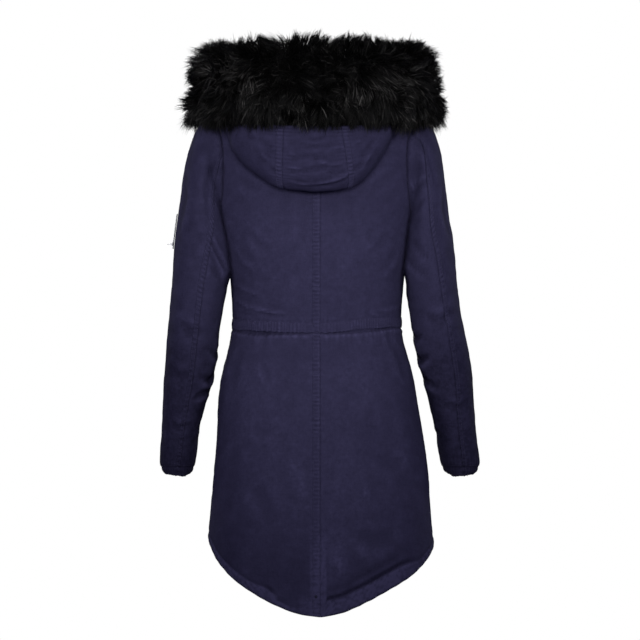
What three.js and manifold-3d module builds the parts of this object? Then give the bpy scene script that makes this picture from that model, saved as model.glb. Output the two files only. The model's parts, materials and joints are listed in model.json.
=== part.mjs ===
// A woman's hooded parka with a fur-trimmed hood worn down, hollow as if on a wearer.
// Millimetres. +X is the wearer's left, +Y the wearer's back, +Z up.
// The origin is the middle of the neck, level with the highest points of the shoulder seams.
import * as THREE from "three";
import { mergeVertices } from "three/addons/utils/BufferGeometryUtils.js";
import Module from "manifold-3d";

const wasm = await Module();
wasm.setup();

// ---------- driving dimensions ----------

const CLOTH = 3; // wall of the jacket's cloth with its lining
const SEAM_GAP = 0.3; // between two pieces at a seam
const QUARTER = Math.PI / 2;

const BODY_POWER = 2.3; // squareness of the body's sections
const BODY_COLUMNS = 7; // facets from the centre of the back or front to the side
const NECK_TILT_POWER = 1.5; // how fast the neckline falls away from the side

const SHOULDER_TIP = -45; // height of the top of the armhole
const UNDERARM = -240; // height of the bottom of the armhole
const ARMHOLE_POWER = 2.2;
const ARMHOLE_BACK = 58; // depth of the armhole behind the shoulder line
const ARMHOLE_FRONT = 54;

const CASING_TOP = -416; // the drawstring casing round the waist
const CASING_BOTTOM = -432;
const CASING_CLOTH = 1.5;
const SKIRT_ROWS = 8;

const ZIP_EDGE = 3.6; // half the slit between the two front edges
const CHAIN_HALF = 3; // half the width of a zip's chain
const TAPE_HALF = 12;
const TAPE = 1.2;
const CHAIN_PROUD = 0.4; // how far the front zip's chain stands out of the cloth
const FRONT_SLIDER_Z = -138;

// A slider's plate and its loop, and the pull that turns in the loop.
const FRONT_SLIDER = {
  width: 8.4, height: 10, thick: 2.4, axis: 2, ring: 2.4, hole: 1.2, loop: 2,
  pullWidth: 6.4, pullLength: 30, pullThick: 1.4, bar: 0.7, eye: 3.2, eyeWidth: 2.8,
};
const SLEEVE_SLIDER = {
  width: 6.4, height: 6.4, thick: 1.6, axis: 1.6, ring: 1.9, hole: 1, loop: 1.5,
  pullWidth: 4.6, pullLength: 7, pullThick: 1.1, bar: 0.55, eye: 2.5, eyeWidth: 2.2,
};

const SLEEVE_POWER = 2.2;
const BACK_SEAM = 5; // ring point where the sleeve's back seam runs
const FRONT_SEAM = 13; // ring point where its front seam runs

const SLEEVE_ZIP_TOP = -227;
const SLEEVE_ZIP_BOTTOM = -290;
const SLEEVE_SLIDER_Z = -282;

const FUR_POWER = 3; // squareness of the fur's sections
const FUR_STEPS = 36;
const FUR_SIDES = 14;

const HOOD_COLUMNS = 26;
const HOOD_ROWS = 16; // facets from the neck seam down to the fold and up to the fur
const HOOD_SEAM_LEFT = 12; // columns where the hood's two long seams run
const HOOD_SEAM_RIGHT = 15;
const HOOD_SEAM = 1; // between the hood and the neckline it is sewn to
const HOOD_STAND = 8; // between the hood's inner layer and the jacket's back

// ---------- tables ----------

// Rings of the body, by their height at the side: their heights at the back and front centre,
// the reach to the wearer's left and right, and the depth to the back and front.
const bodyRings = [
  { side: 0, backZ: -18, frontZ: -80, left: 90, right: 70, back: 66, front: 84 },
  { side: -12, backZ: -27, frontZ: -86, left: 116, right: 96, back: 75, front: 88 },
  { side: -28, backZ: -39, frontZ: -94, left: 152, right: 130, back: 83, front: 92 },
  { side: -45, backZ: -53, frontZ: -103, left: 196, right: 172, back: 90, front: 96 },
  { side: -75, backZ: -80, frontZ: -122, left: 199, right: 175, back: 99, front: 102 },
  { side: -115, backZ: -118, frontZ: -148, left: 199, right: 176, back: 107, front: 109 },
  { side: -160, backZ: -161, frontZ: -180, left: 196, right: 175, back: 114, front: 115 },
  { side: -205, backZ: -205, frontZ: -214, left: 188, right: 170, back: 118, front: 120 },
  { side: -240, backZ: -240, frontZ: -243, left: 179, right: 164, back: 119, front: 122 },
  { side: -290, backZ: -290, frontZ: -290, left: 169, right: 157, back: 115, front: 121 },
  { side: -350, backZ: -350, frontZ: -350, left: 162, right: 150, back: 107, front: 114 },
  { side: -400, backZ: -400, frontZ: -400, left: 159, right: 146, back: 100, front: 104 },
  { side: -423, backZ: -423, frontZ: -423, left: 158, right: 145, back: 98, front: 100 },
  { side: -455, backZ: -455, frontZ: -455, left: 163, right: 150, back: 101, front: 101 },
  { side: -490, backZ: -490, frontZ: -490, left: 171, right: 160, back: 108, front: 106 },
  { side: -526, backZ: -526, frontZ: -526, left: 179, right: 169, back: 116, front: 111 },
  { side: -562, backZ: -562, frontZ: -562, left: 184, right: 175, back: 122, front: 114 },
  { side: -616, backZ: -616, frontZ: -616, left: 188, right: 182, back: 127, front: 118 },
  { side: -670, backZ: -670, frontZ: -670, left: 192, right: 190, back: 130, front: 121 },
  { side: -742, backZ: -742, frontZ: -742, left: 197, right: 197, back: 132, front: 125 },
  { side: -820, backZ: -820, frontZ: -820, left: 203, right: 203, back: 133, front: 129 },
  { side: -960, backZ: -960, frontZ: -960, left: 207, right: 207, back: 134, front: 131 },
];

// Height of the hem by the angle round the body, from the back centre to the front centre.
const hemLine = [
  { angle: 0, left: -950, right: -950 },
  { angle: 8, left: -945, right: -943 },
  { angle: 20, left: -929, right: -924 },
  { angle: 35, left: -904, right: -899 },
  { angle: 50, left: -878, right: -877 },
  { angle: 65, left: -850, right: -855 },
  { angle: 80, left: -822, right: -834 },
  { angle: 95, left: -806, right: -818 },
  { angle: 120, left: -796, right: -802 },
  { angle: 150, left: -789, right: -791 },
  { angle: 180, left: -787, right: -787 },
];

// Rings of the sleeves below the armhole: the height of each ring's outer and inner point,
// their reach from the body's middle on each side, half the ring's depth, and how far it is back.
const sleeveRings = [
  { outZ: -54, inZ: -247, leftOut: 210, leftIn: 179.2, rightOut: 187, rightIn: 164.8, half: 61, back: 1 },
  { outZ: -74, inZ: -257, leftOut: 223, leftIn: 177, rightOut: 202, rightIn: 163.2, half: 65, back: 2 },
  { outZ: -103, inZ: -269, leftOut: 234, leftIn: 174.6, rightOut: 213, rightIn: 161.5, half: 67, back: 3 },
  { outZ: -140, inZ: -284, leftOut: 243, leftIn: 171.8, rightOut: 220, rightIn: 159.5, half: 68, back: 4 },
  { outZ: -185, inZ: -304, leftOut: 250, leftIn: 168.6, rightOut: 226, rightIn: 157, half: 68, back: 5 },
  { outZ: -232, inZ: -330, leftOut: 257, leftIn: 165.6, rightOut: 231, rightIn: 154, half: 66, back: 6 },
  { outZ: -280, inZ: -360, leftOut: 263, leftIn: 168, rightOut: 239, rightIn: 153.6, half: 64, back: 7 },
  { outZ: -335, inZ: -395, leftOut: 267, leftIn: 174, rightOut: 244, rightIn: 158, half: 62, back: 6 },
  { outZ: -400, inZ: -435, leftOut: 271, leftIn: 181, rightOut: 252, rightIn: 164, half: 60, back: 3 },
  { outZ: -466, inZ: -480, leftOut: 278, leftIn: 186, rightOut: 265, rightIn: 172, half: 57, back: -3 },
  { outZ: -525, inZ: -531, leftOut: 282, leftIn: 195, rightOut: 274, rightIn: 186, half: 53, back: -13 },
  { outZ: -575, inZ: -577, leftOut: 284, leftIn: 208, rightOut: 277, rightIn: 198, half: 49, back: -25 },
  { outZ: -620, inZ: -621, leftOut: 287, leftIn: 218, rightOut: 281, rightIn: 208, half: 45, back: -38 },
  { outZ: -656, inZ: -656, leftOut: 290, leftIn: 222, rightOut: 286, rightIn: 213, half: 42, back: -49 },
  { outZ: -673, inZ: -673, leftOut: 290, leftIn: 225, rightOut: 287, rightIn: 216, half: 40, back: -54 },
  { outZ: -688, inZ: -688, leftOut: 286, leftIn: 230, rightOut: 283, rightIn: 222, half: 35, back: -58 },
  { outZ: -698, inZ: -698, leftOut: 280, leftIn: 236, rightOut: 276, rightIn: 230, half: 29, back: -60 },
];

// Stations of the fur round the neck, from its left end in front to its right end: the middle of
// the section, half its height and depth, how far its top leans in, in degrees, and the plane
// that it rests on: the height of that plane at the middle, and how steeply it falls outwards.
const furStations = [
  { at: 0, x: 24, y: -126, z: -98, high: 16, deep: 11, lean: 0, rest: -130, fall: 0 },
  { at: 0.04, x: 44, y: -129, z: -92, high: 38, deep: 25, lean: 0, rest: -140, fall: 0 },
  { at: 0.16, x: 116, y: -118, z: -62, high: 56, deep: 38, lean: 6, rest: -112, fall: 0.8 },
  { at: 0.25, x: 170, y: -74, z: -22, high: 64, deep: 45, lean: 9, rest: -58, fall: 0.8 },
  { at: 0.32, x: 192, y: -18, z: 0, high: 74, deep: 48, lean: 12, rest: -27, fall: 1 },
  { at: 0.42, x: 146, y: 106, z: 6, high: 73, deep: 46, lean: 6, rest: -72, fall: 0.9 },
  { at: 0.53, x: 10, y: 146, z: 9, high: 78, deep: 46, lean: 0, rest: -95, fall: 1 },
  { at: 0.64, x: -124, y: 106, z: 8, high: 76, deep: 46, lean: 6, rest: -72, fall: 0.9 },
  { at: 0.74, x: -170, y: -18, z: 4, high: 76, deep: 48, lean: 12, rest: -23, fall: 1 },
  { at: 0.81, x: -150, y: -74, z: -20, high: 64, deep: 45, lean: 9, rest: -56, fall: 0.8 },
  { at: 0.86, x: -108, y: -118, z: -60, high: 56, deep: 38, lean: 6, rest: -112, fall: 0.8 },
  { at: 0.96, x: -38, y: -129, z: -92, high: 38, deep: 25, lean: 0, rest: -140, fall: 0 },
  { at: 1, x: -18, y: -126, z: -98, high: 16, deep: 11, lean: 0, rest: -130, fall: 0 },
];

// The hood from its left end in front, over the back, to its right end: the place round the neck
// seam and round the body at the fold in degrees, the fold's height, how thick the bag is there,
// and where its edge meets the fur: the place along the fur and round its section in degrees.
const hoodFolds = [
  { at: 0, neck: 172, turn: 168, fold: -16, thick: 2, fur: 0.04, meets: -80 },
  { at: 0.12, neck: 132, turn: 132, fold: -14, thick: 2, fur: 0.16, meets: -80 },
  { at: 0.231, neck: 90, turn: 88, fold: -20, thick: 3, fur: 0.29, meets: -75 },
  { at: 0.28, neck: 70, turn: 68, fold: -30, thick: 6, fur: 0.34, meets: -50 },
  { at: 0.32, neck: 56, turn: 52, fold: -66, thick: 15, fur: 0.375, meets: -20 },
  { at: 0.36, neck: 44, turn: 43, fold: -112, thick: 26, fur: 0.41, meets: 0 },
  { at: 0.41, neck: 28, turn: 29, fold: -150, thick: 33, fur: 0.455, meets: 5 },
  { at: 0.46, neck: 15, turn: 16, fold: -170, thick: 37, fur: 0.49, meets: 8 },
  { at: 0.52, neck: 0, turn: 1, fold: -176, thick: 38, fur: 0.53, meets: 8 },
  { at: 0.58, neck: -15, turn: -13, fold: -170, thick: 36, fur: 0.565, meets: 8 },
  { at: 0.63, neck: -28, turn: -23, fold: -150, thick: 32, fur: 0.6, meets: 5 },
  { at: 0.68, neck: -42, turn: -33, fold: -112, thick: 25, fur: 0.64, meets: 0 },
  { at: 0.72, neck: -56, turn: -48, fold: -64, thick: 14, fur: 0.675, meets: -20 },
  { at: 0.765, neck: -70, turn: -66, fold: -30, thick: 6, fur: 0.71, meets: -50 },
  { at: 0.808, neck: -90, turn: -88, fold: -20, thick: 3, fur: 0.74, meets: -75 },
  { at: 0.9, neck: -132, turn: -132, fold: -14, thick: 2, fur: 0.86, meets: -80 },
  { at: 1, neck: -172, turn: -168, fold: -16, thick: 2, fur: 0.96, meets: -80 },
];

// ---------- helpers ----------

const at = (x, y, z) => new THREE.Vector3(x, y, z);
const mix = THREE.MathUtils.lerp;
const radians = THREE.MathUtils.degToRad;
const power = (value, exponent) => Math.sign(value) * Math.abs(value) ** exponent;

// A named column of a table at a place along another, by a cubic that never overshoots its rows.
function read(table, along, name, place) {
  const rows = table[0][along] < table[table.length - 1][along] ? table : [...table].reverse();
  const x = rows.map((row) => row[along]);
  const y = rows.map((row) => row[name]);
  const last = x.length - 1;
  const p = THREE.MathUtils.clamp(place, x[0], x[last]);
  let i = 0;
  while (i < last - 1 && p > x[i + 1]) i++;
  const slope = (k) => (y[k + 1] - y[k]) / (x[k + 1] - x[k]);
  const tangent = (k) => {
    if (k === 0) return slope(0);
    if (k === last) return slope(last - 1);
    const [a, b] = [slope(k - 1), slope(k)];
    return a * b <= 0 ? 0 : (2 * a * b) / (a + b);
  };
  const h = x[i + 1] - x[i];
  const t = (p - x[i]) / h;
  const u = 1 - t;
  return (
    y[i] * u * u * (1 + 2 * t) +
    y[i + 1] * t * t * (3 - 2 * t) +
    h * t * u * (tangent(i) * u - tangent(i + 1) * t)
  );
}

// Triangles of a sheet of quads. The vertex numbers come from number(row, column).
function quads(rows, columns, number, triangles) {
  for (let r = 0; r < rows; r++) {
    for (let c = 0; c < columns; c++) {
      const [a, b] = [number(r, c), number(r, c + 1)];
      const [d, e] = [number(r + 1, c), number(r + 1, c + 1)];
      triangles.push(a, b, e, a, e, d);
    }
  }
}

// A closed geometry from points and triangles, turned so that its faces point out.
function closedGeometry(points, triangles) {
  let volume = 0;
  for (let i = 0; i < triangles.length; i += 3) {
    const [a, b, c] = [0, 1, 2].map((k) => points[triangles[i + k]]);
    volume += a.dot(b.clone().cross(c));
  }
  const facing = volume < 0 ? [...triangles].reverse() : triangles;
  const geometry = new THREE.BufferGeometry().setFromPoints(points);
  geometry.setIndex(facing);
  geometry.computeVertexNormals();
  return geometry;
}

// Moves the edges of a sheet in towards their neighbours, square to each edge.
function trim(sheet, { first = 0, last = 0, top = 0, bottom = 0 }) {
  const pull = (edge, neighbours, distance) => {
    const moves = edge.map((point, i) => {
      const along = edge[Math.min(i + 1, edge.length - 1)].clone().sub(edge[Math.max(i - 1, 0)]).normalize();
      const towards = neighbours[i].clone().sub(point);
      return towards.addScaledVector(along, -towards.dot(along)).setLength(distance);
    });
    edge.forEach((point, i) => point.add(moves[i]));
  };
  const column = (c) => sheet.map((row) => row.at(c));
  if (first) pull(column(0), column(1), first);
  if (last) pull(column(-1), column(-2), last);
  if (top) pull(sheet[0], sheet[1], top);
  if (bottom) pull(sheet.at(-1), sheet.at(-2), bottom);
}

// A wall of cloth from a grid of { p, n }: its face is moved out along n, and its back is that
// much further in as the cloth is thick.
function wall(grid, thickness, trims = {}, out = 0) {
  const moved = (distance) => (row) => row.map(({ p, n }) => p.clone().addScaledVector(n, distance));
  const face = grid.map(moved(out));
  const back = grid.map(moved(out - thickness));
  trim(face, trims);
  trim(back, trims);
  const rows = grid.length - 1;
  const columns = grid[0].length - 1;
  const width = columns + 1;
  const behind = (rows + 1) * width;
  const triangles = [];
  quads(rows, columns, (r, c) => r * width + c, triangles);
  quads(rows, columns, (r, c) => behind + r * width + columns - c, triangles);
  const rim = (from, step, count, reverse) => {
    for (let i = 0; i < count; i++) {
      const [a, b] = [from + i * step, from + (i + 1) * step];
      const [c, d] = [b + behind, a + behind];
      triangles.push(...(reverse ? [a, d, b, b, d, c] : [a, b, d, b, c, d]));
    }
  };
  rim(0, 1, columns, true);
  rim(columns, width, rows, true);
  rim(rows * width, 1, columns, false);
  rim(0, width, rows, false);
  return closedGeometry([...face.flat(), ...back.flat()], triangles);
}

// A solid through closed loops of points, with flat ends that are shaped like the outline.
function loft(loops, outline) {
  const sides = outline.length;
  const triangles = [];
  quads(loops.length - 1, sides, (r, c) => r * sides + (c % sides), triangles);
  const end = (loops.length - 1) * sides;
  for (const [a, b, c] of THREE.ShapeUtils.triangulateShape(outline, [])) {
    triangles.push(a, c, b, end + a, end + b, end + c);
  }
  return closedGeometry(loops.flat(), triangles);
}

// Unit normals of a surface given by a function of two numbers.
function normalOf(surface, u, v, stepU, stepV) {
  const across = surface(u + stepU, v).sub(surface(u - stepU, v));
  const along = surface(u, v + stepV).sub(surface(u, v - stepV));
  return along.cross(across).normalize();
}

const toManifold = (geometry) => {
  const bare = geometry.clone();
  bare.deleteAttribute("normal");
  bare.deleteAttribute("uv");
  const merged = mergeVertices(bare, 1e-4);
  return new wasm.Manifold(
    new wasm.Mesh({
      numProp: 3,
      vertProperties: new Float32Array(merged.attributes.position.array),
      triVerts: new Uint32Array(merged.index.array),
    }),
  );
};

const toGeometry = (solid) => {
  const mesh = solid.getMesh();
  const geometry = new THREE.BufferGeometry();
  geometry.setAttribute("position", new THREE.BufferAttribute(mesh.vertProperties, 3));
  geometry.setIndex(new THREE.BufferAttribute(mesh.triVerts, 1));
  geometry.computeVertexNormals();
  return geometry;
};

// A solid grown by about a distance, as copies moved every way and joined.
const grown = (geometry, distance) =>
  [1, -1]
    .flatMap((sign) => [at(sign, 0, 0), at(0, sign, 0), at(0, 0, sign)])
    .map((way) => toManifold(geometry.clone().translate(...way.multiplyScalar(distance))))
    .reduce((whole, copy) => whole.add(copy));

const cloth = (colour) => new THREE.MeshStandardMaterial({ color: colour, roughness: 0.9 });
const navy = cloth(0x302e46);
const navyTape = cloth(0x1c1b2c);
const blackFur = cloth(0x0d0d0d);
const gunmetal = new THREE.MeshStandardMaterial({ color: 0x55565c, roughness: 0.35, metalness: 0.9 });

const jacket = new THREE.Group();

function add(name, geometry, material) {
  const mesh = new THREE.Mesh(geometry, material);
  mesh.name = name;
  jacket.add(mesh);
  return mesh;
}

// ---------- body ----------

// A point of the body's outside, by its angle from the back centre towards the wearer's left
// and by its ring's height at the side.
function bodyPoint(angle, side) {
  const [s, c] = [Math.sin(angle), Math.cos(angle)];
  const ring = (name) => read(bodyRings, "side", name, side);
  const [depth, height] = c >= 0 ? ["back", "backZ"] : ["front", "frontZ"];
  const x = ring(s >= 0 ? "left" : "right") * power(s, 2 / BODY_POWER);
  const y = ring(depth) * power(c, 2 / BODY_POWER);
  return at(x, y, mix(side, ring(height), Math.abs(c) ** NECK_TILT_POWER));
}

const bodyNode = (angle, side) => ({
  p: bodyPoint(angle, side),
  n: normalOf(bodyPoint, angle, side, 1e-4, 0.05),
});

// How far the armhole reaches behind or before the shoulder line at a height.
function armholeReach(height, deepest) {
  const middle = (SHOULDER_TIP + UNDERARM) / 2;
  const up = Math.abs(height - middle) / ((SHOULDER_TIP - UNDERARM) / 2);
  return up >= 1 ? 0 : deepest * (1 - up ** ARMHOLE_POWER) ** (1 / ARMHOLE_POWER);
}

// The angle between the centre and the panel's outer edge: the side seam or the armhole.
function edgeAngle(half, height) {
  const [depth, deepest] = half === "back" ? ["back", ARMHOLE_BACK] : ["front", ARMHOLE_FRONT];
  const share = armholeReach(height, deepest) / read(bodyRings, "side", depth, height);
  return Math.acos(share ** (BODY_POWER / 2));
}

// The angle between the centre and the zip's edge.
function zipAngle(hand, height) {
  const share = ZIP_EDGE / read(bodyRings, "side", hand, height);
  return Math.asin(share ** (BODY_POWER / 2));
}

const ARMHOLE_ROWS = [-45, -51, -62, -85, -112, -142, -172, -200, -222, -234, -240];
const UPPER_ROWS = [0, -12, -28, ...ARMHOLE_ROWS, -275, -315, -355, -390, CASING_TOP, CASING_BOTTOM];

// Angles from the back centre of one row of a panel, from its centre edge to its outer edge.
function rowAngles(hand, half, height) {
  const sign = hand === "left" ? 1 : -1;
  const outer = edgeAngle(half, height);
  const inner = half === "back" ? 0 : zipAngle(hand, height);
  return Array.from({ length: BODY_COLUMNS + 1 }, (_, c) => {
    const fromCentre = mix(inner, outer, c / BODY_COLUMNS);
    return sign * (half === "back" ? fromCentre : Math.PI - fromCentre);
  });
}

function bodyGrid(hand, half) {
  const upper = UPPER_ROWS.map((height) =>
    rowAngles(hand, half, height).map((angle) => bodyNode(angle, height)),
  );
  const skirtAngles = rowAngles(hand, half, CASING_BOTTOM);
  const skirt = Array.from({ length: SKIRT_ROWS }, (_, r) =>
    skirtAngles.map((angle) => {
      const degrees = THREE.MathUtils.radToDeg(Math.abs(angle));
      const hem = read(hemLine, "angle", hand, degrees);
      return bodyNode(angle, mix(CASING_BOTTOM, hem, (r + 1) / SKIRT_ROWS));
    }),
  );
  return [...upper, ...skirt];
}

function addBody() {
  for (const hand of ["left", "right"]) {
    for (const half of ["back", "front"]) {
      const trims = { first: half === "back" ? SEAM_GAP / 2 : 0, last: SEAM_GAP / 2 };
      add(`${half}_${hand}`, wall(bodyGrid(hand, half), CLOTH, trims), navy);
    }
  }
}

// The casing lies on the panels, so it is made of their points, moved out.
function addCasing() {
  const row = (height) => {
    const [frontLeft, backLeft] = ["front", "back"].map((half) => rowAngles("left", half, height));
    const [frontRight, backRight] = ["front", "back"].map((half) => rowAngles("right", half, height));
    const angles = [
      ...frontLeft,
      ...backLeft.reverse().slice(1),
      ...backRight.slice(1),
      ...frontRight.reverse().slice(1),
    ];
    return angles.map((angle) => bodyNode(angle, height));
  };
  const grid = [row(CASING_TOP), row(CASING_BOTTOM)];
  add("waist_casing", wall(grid, CASING_CLOTH, {}, SEAM_GAP + CASING_CLOTH), navy);
}

// ---------- zips ----------

// The chain fills the slit and its tape lies behind the two front edges.
function addFrontZip() {
  const tapeFace = CLOTH + 3 * SEAM_GAP;
  const outline = [
    [-CHAIN_HALF, -CHAIN_PROUD],
    [CHAIN_HALF, -CHAIN_PROUD],
    [CHAIN_HALF, tapeFace],
    [TAPE_HALF, tapeFace],
    [TAPE_HALF, tapeFace + TAPE],
    [-TAPE_HALF, tapeFace + TAPE],
    [-TAPE_HALF, tapeFace],
    [-CHAIN_HALF, tapeFace],
  ].map(([x, y]) => new THREE.Vector2(x, y));
  const loops = frontRows().map((height) => {
    const { p, n } = bodyNode(Math.PI, height);
    return outline.map(({ x, y }) => at(x, p.y, p.z).addScaledVector(n, -y));
  });
  add("front_zip", loft(loops, outline), navyTape);
}

// The heights of all the rows of points down the front edge.
function frontRows() {
  const hem = read(hemLine, "angle", "left", 180);
  const skirt = Array.from({ length: SKIRT_ROWS }, (_, r) =>
    mix(CASING_BOTTOM, hem, (r + 1) / SKIRT_ROWS),
  );
  return [...UPPER_ROWS, ...skirt];
}

// A slider in its own frame: X across the zip, Y out of the cloth, Z up the zip.
function sliderGeometry({ width, height, thick, axis, ring, hole, loop }) {
  const body = new THREE.Shape();
  body.moveTo(-width * 0.32, -height / 2);
  body.lineTo(width * 0.32, -height / 2);
  body.lineTo(width / 2, height * 0.3);
  body.lineTo(width * 0.36, height / 2);
  body.lineTo(-width * 0.36, height / 2);
  body.lineTo(-width / 2, height * 0.3);
  body.closePath();
  const plate = new THREE.ExtrudeGeometry(body, { depth: thick, bevelEnabled: false });
  plate.rotateX(QUARTER).translate(0, thick, 0);
  const arch = new THREE.Shape();
  const foot = -axis - 0.3;
  arch.moveTo(-ring, foot);
  arch.lineTo(-ring, 0);
  arch.absarc(0, 0, ring, Math.PI, 0, true);
  arch.lineTo(ring, foot);
  arch.lineTo(hole, foot);
  arch.lineTo(hole, 0);
  arch.absarc(0, 0, hole, 0, Math.PI, false);
  arch.lineTo(-hole, foot);
  arch.closePath();
  const bail = new THREE.ExtrudeGeometry(arch, { depth: loop, bevelEnabled: false, curveSegments: 6 });
  bail.translate(0, 0, -loop / 2).rotateY(-QUARTER).translate(0, thick + axis, 0);
  return toGeometry(toManifold(plate).add(toManifold(bail)));
}

// A pull in its own frame: its bar lies along X at the origin, and it hangs down Z.
function pullGeometry({ pullWidth, pullLength, pullThick, bar, eye, eyeWidth }) {
  const outline = new THREE.Shape();
  outline.moveTo(-pullWidth / 2, bar);
  outline.lineTo(pullWidth / 2, bar);
  outline.lineTo(pullWidth / 2, -pullLength + pullWidth / 2);
  outline.absarc(0, -pullLength + pullWidth / 2, pullWidth / 2, 0, -Math.PI, true);
  outline.closePath();
  const hole = new THREE.Path();
  hole.moveTo(-eyeWidth / 2, -bar);
  hole.lineTo(-eyeWidth / 2, -eye);
  hole.lineTo(eyeWidth / 2, -eye);
  hole.lineTo(eyeWidth / 2, -bar);
  hole.closePath();
  outline.holes.push(hole);
  const extrude = { depth: pullThick, bevelEnabled: false, curveSegments: 6 };
  return new THREE.ExtrudeGeometry(outline, extrude).rotateX(QUARTER).translate(0, pullThick / 2, 0);
}

// A slider and its pull on a zip. Heading is the way the cloth faces there and slope is how far
// the zip leans back from upright, both in degrees. Lift turns the pull up out of the cloth.
function addSlider(name, sizes, place, { heading, slope, lift }) {
  const onZip = new THREE.Group();
  onZip.position.copy(place);
  onZip.rotation.set(radians(slope), 0, radians(heading), "ZXY");
  const slider = add(`${name}_slider`, sliderGeometry(sizes), gunmetal);
  const pull = add(`${name}_pull`, pullGeometry(sizes), gunmetal);
  pull.position.y = sizes.thick + sizes.axis;
  pull.rotation.x = radians(lift);
  onZip.add(slider, pull);
  jacket.add(onZip);
}

function addFrontSlider() {
  const centre = frontRows().map((height) => bodyPoint(Math.PI, height));
  const below = centre.findIndex((p) => p.z <= FRONT_SLIDER_Z);
  const [a, b] = [centre[below - 1], centre[below]];
  const place = a.clone().lerp(b, (a.z - FRONT_SLIDER_Z) / (a.z - b.z));
  const slope = Math.atan2(a.y - b.y, a.z - b.z);
  place.y -= (CHAIN_PROUD + SEAM_GAP) / Math.cos(slope);
  const placing = { heading: 180, slope: THREE.MathUtils.radToDeg(slope), lift: 0 };
  addSlider("front_zip", FRONT_SLIDER, place, placing);
}

// ---------- sleeves ----------

// Points of the armhole round from the shoulder tip by the back to the underarm and the front.
function armholeLoop(hand) {
  const sign = hand === "left" ? 1 : -1;
  const back = ARMHOLE_ROWS.map((height) => [sign * edgeAngle("back", height), height]);
  const front = ARMHOLE_ROWS.slice(1, -1)
    .reverse()
    .map((height) => [sign * (Math.PI - edgeAngle("front", height)), height]);
  return [...back, ...front].map(([angle, height]) => bodyPoint(angle, height));
}

// Angles round a ring that match the armhole's points, 0 at the shoulder and a quarter at the back.
function armholeAngles() {
  const middle = (SHOULDER_TIP + UNDERARM) / 2;
  const tall = (SHOULDER_TIP - UNDERARM) / 2;
  const back = ARMHOLE_ROWS.map((height) =>
    Math.atan2(armholeReach(height, tall), height - middle),
  );
  const front = back.slice(1, -1).reverse().map((angle) => -angle);
  return [...back, ...front];
}

function sleeveRing(hand, row, angles) {
  const sign = hand === "left" ? 1 : -1;
  const outer = at(sign * row[`${hand}Out`], row.back, row.outZ);
  const inner = at(sign * row[`${hand}In`], row.back, row.inZ);
  const middle = outer.clone().add(inner).multiplyScalar(0.5);
  const up = outer.clone().sub(middle);
  return angles.map((angle) => {
    const y = row.half * power(Math.sin(angle), 2 / SLEEVE_POWER);
    const point = middle.clone().addScaledVector(up, power(Math.cos(angle), 2 / SLEEVE_POWER));
    return point.add(at(0, y, 0));
  });
}

// The sleeve's rings as { p, n }, with normals from the neighbouring points.
function sleeveGrid(hand) {
  const angles = armholeAngles();
  const loops = [armholeLoop(hand), ...sleeveRings.map((row) => sleeveRing(hand, row, angles))];
  const count = angles.length;
  return loops.map((loop, r) =>
    loop.map((p, c) => {
      const before = loops[Math.max(r - 1, 0)][c];
      const after = loops[Math.min(r + 1, loops.length - 1)][c];
      const along = after.clone().sub(before).normalize();
      const around = loop[(c + 1) % count].clone().sub(loop[(c + count - 1) % count]);
      const n = around.cross(along).normalize();
      return { p, n: hand === "left" ? n.negate() : n };
    }),
  );
}

function addSleeves() {
  for (const hand of ["left", "right"]) {
    const grid = sleeveGrid(hand);
    const count = grid[0].length;
    const cut = (from, to) =>
      grid.map((ring) => {
        const columns = [];
        for (let c = from; c <= to; c++) columns.push(ring[(c + count) % count]);
        return columns;
      });
    const trims = { first: SEAM_GAP / 2, last: SEAM_GAP / 2, top: 2 * SEAM_GAP };
    add(`sleeve_${hand}_outer`, wall(cut(FRONT_SEAM - count, BACK_SEAM), CLOTH, trims), navy);
    add(`sleeve_${hand}_under`, wall(cut(BACK_SEAM, FRONT_SEAM), CLOTH, trims), navy);
  }
}

// The place on the left sleeve's outermost line at a height.
function sleeveOutside(height) {
  const below = sleeveRings.findIndex((row) => row.outZ <= height);
  const [a, b] = [sleeveRings[below - 1], sleeveRings[below]];
  const share = (height - a.outZ) / (b.outZ - a.outZ);
  return at(mix(a.leftOut, b.leftOut, share), mix(a.back, b.back, share), height);
}

function addSleeveZip() {
  const proud = 0.5;
  const thick = 1.4;
  const bends = sleeveRings.map((row) => row.outZ);
  const between = bends.filter((z) => z < SLEEVE_ZIP_TOP && z > SLEEVE_ZIP_BOTTOM);
  const outline = [
    [proud, -CHAIN_HALF],
    [proud + thick, -CHAIN_HALF],
    [proud + thick, CHAIN_HALF],
    [proud, CHAIN_HALF],
  ].map(([x, y]) => new THREE.Vector2(x, y));
  const loops = [SLEEVE_ZIP_TOP, ...between, SLEEVE_ZIP_BOTTOM].map((height) => {
    const centre = sleeveOutside(height);
    return outline.map(({ x, y }) => at(centre.x + x, centre.y + y, height));
  });
  add("sleeve_zip", loft(loops, outline), gunmetal);
  const place = sleeveOutside(SLEEVE_SLIDER_Z);
  place.x += proud + thick + SEAM_GAP;
  addSlider("sleeve_zip", SLEEVE_SLIDER, place, { heading: -90, slope: 4, lift: 84 });
}

// ---------- fur and hood ----------

const furRow = (place) => {
  const column = (name) => read(furStations, "at", name, place);
  return {
    middle: at(column("x"), column("y"), column("z")),
    high: column("high"),
    deep: column("deep"),
    lean: radians(column("lean")),
    rest: column("rest"),
    fall: column("fall"),
  };
};

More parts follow.
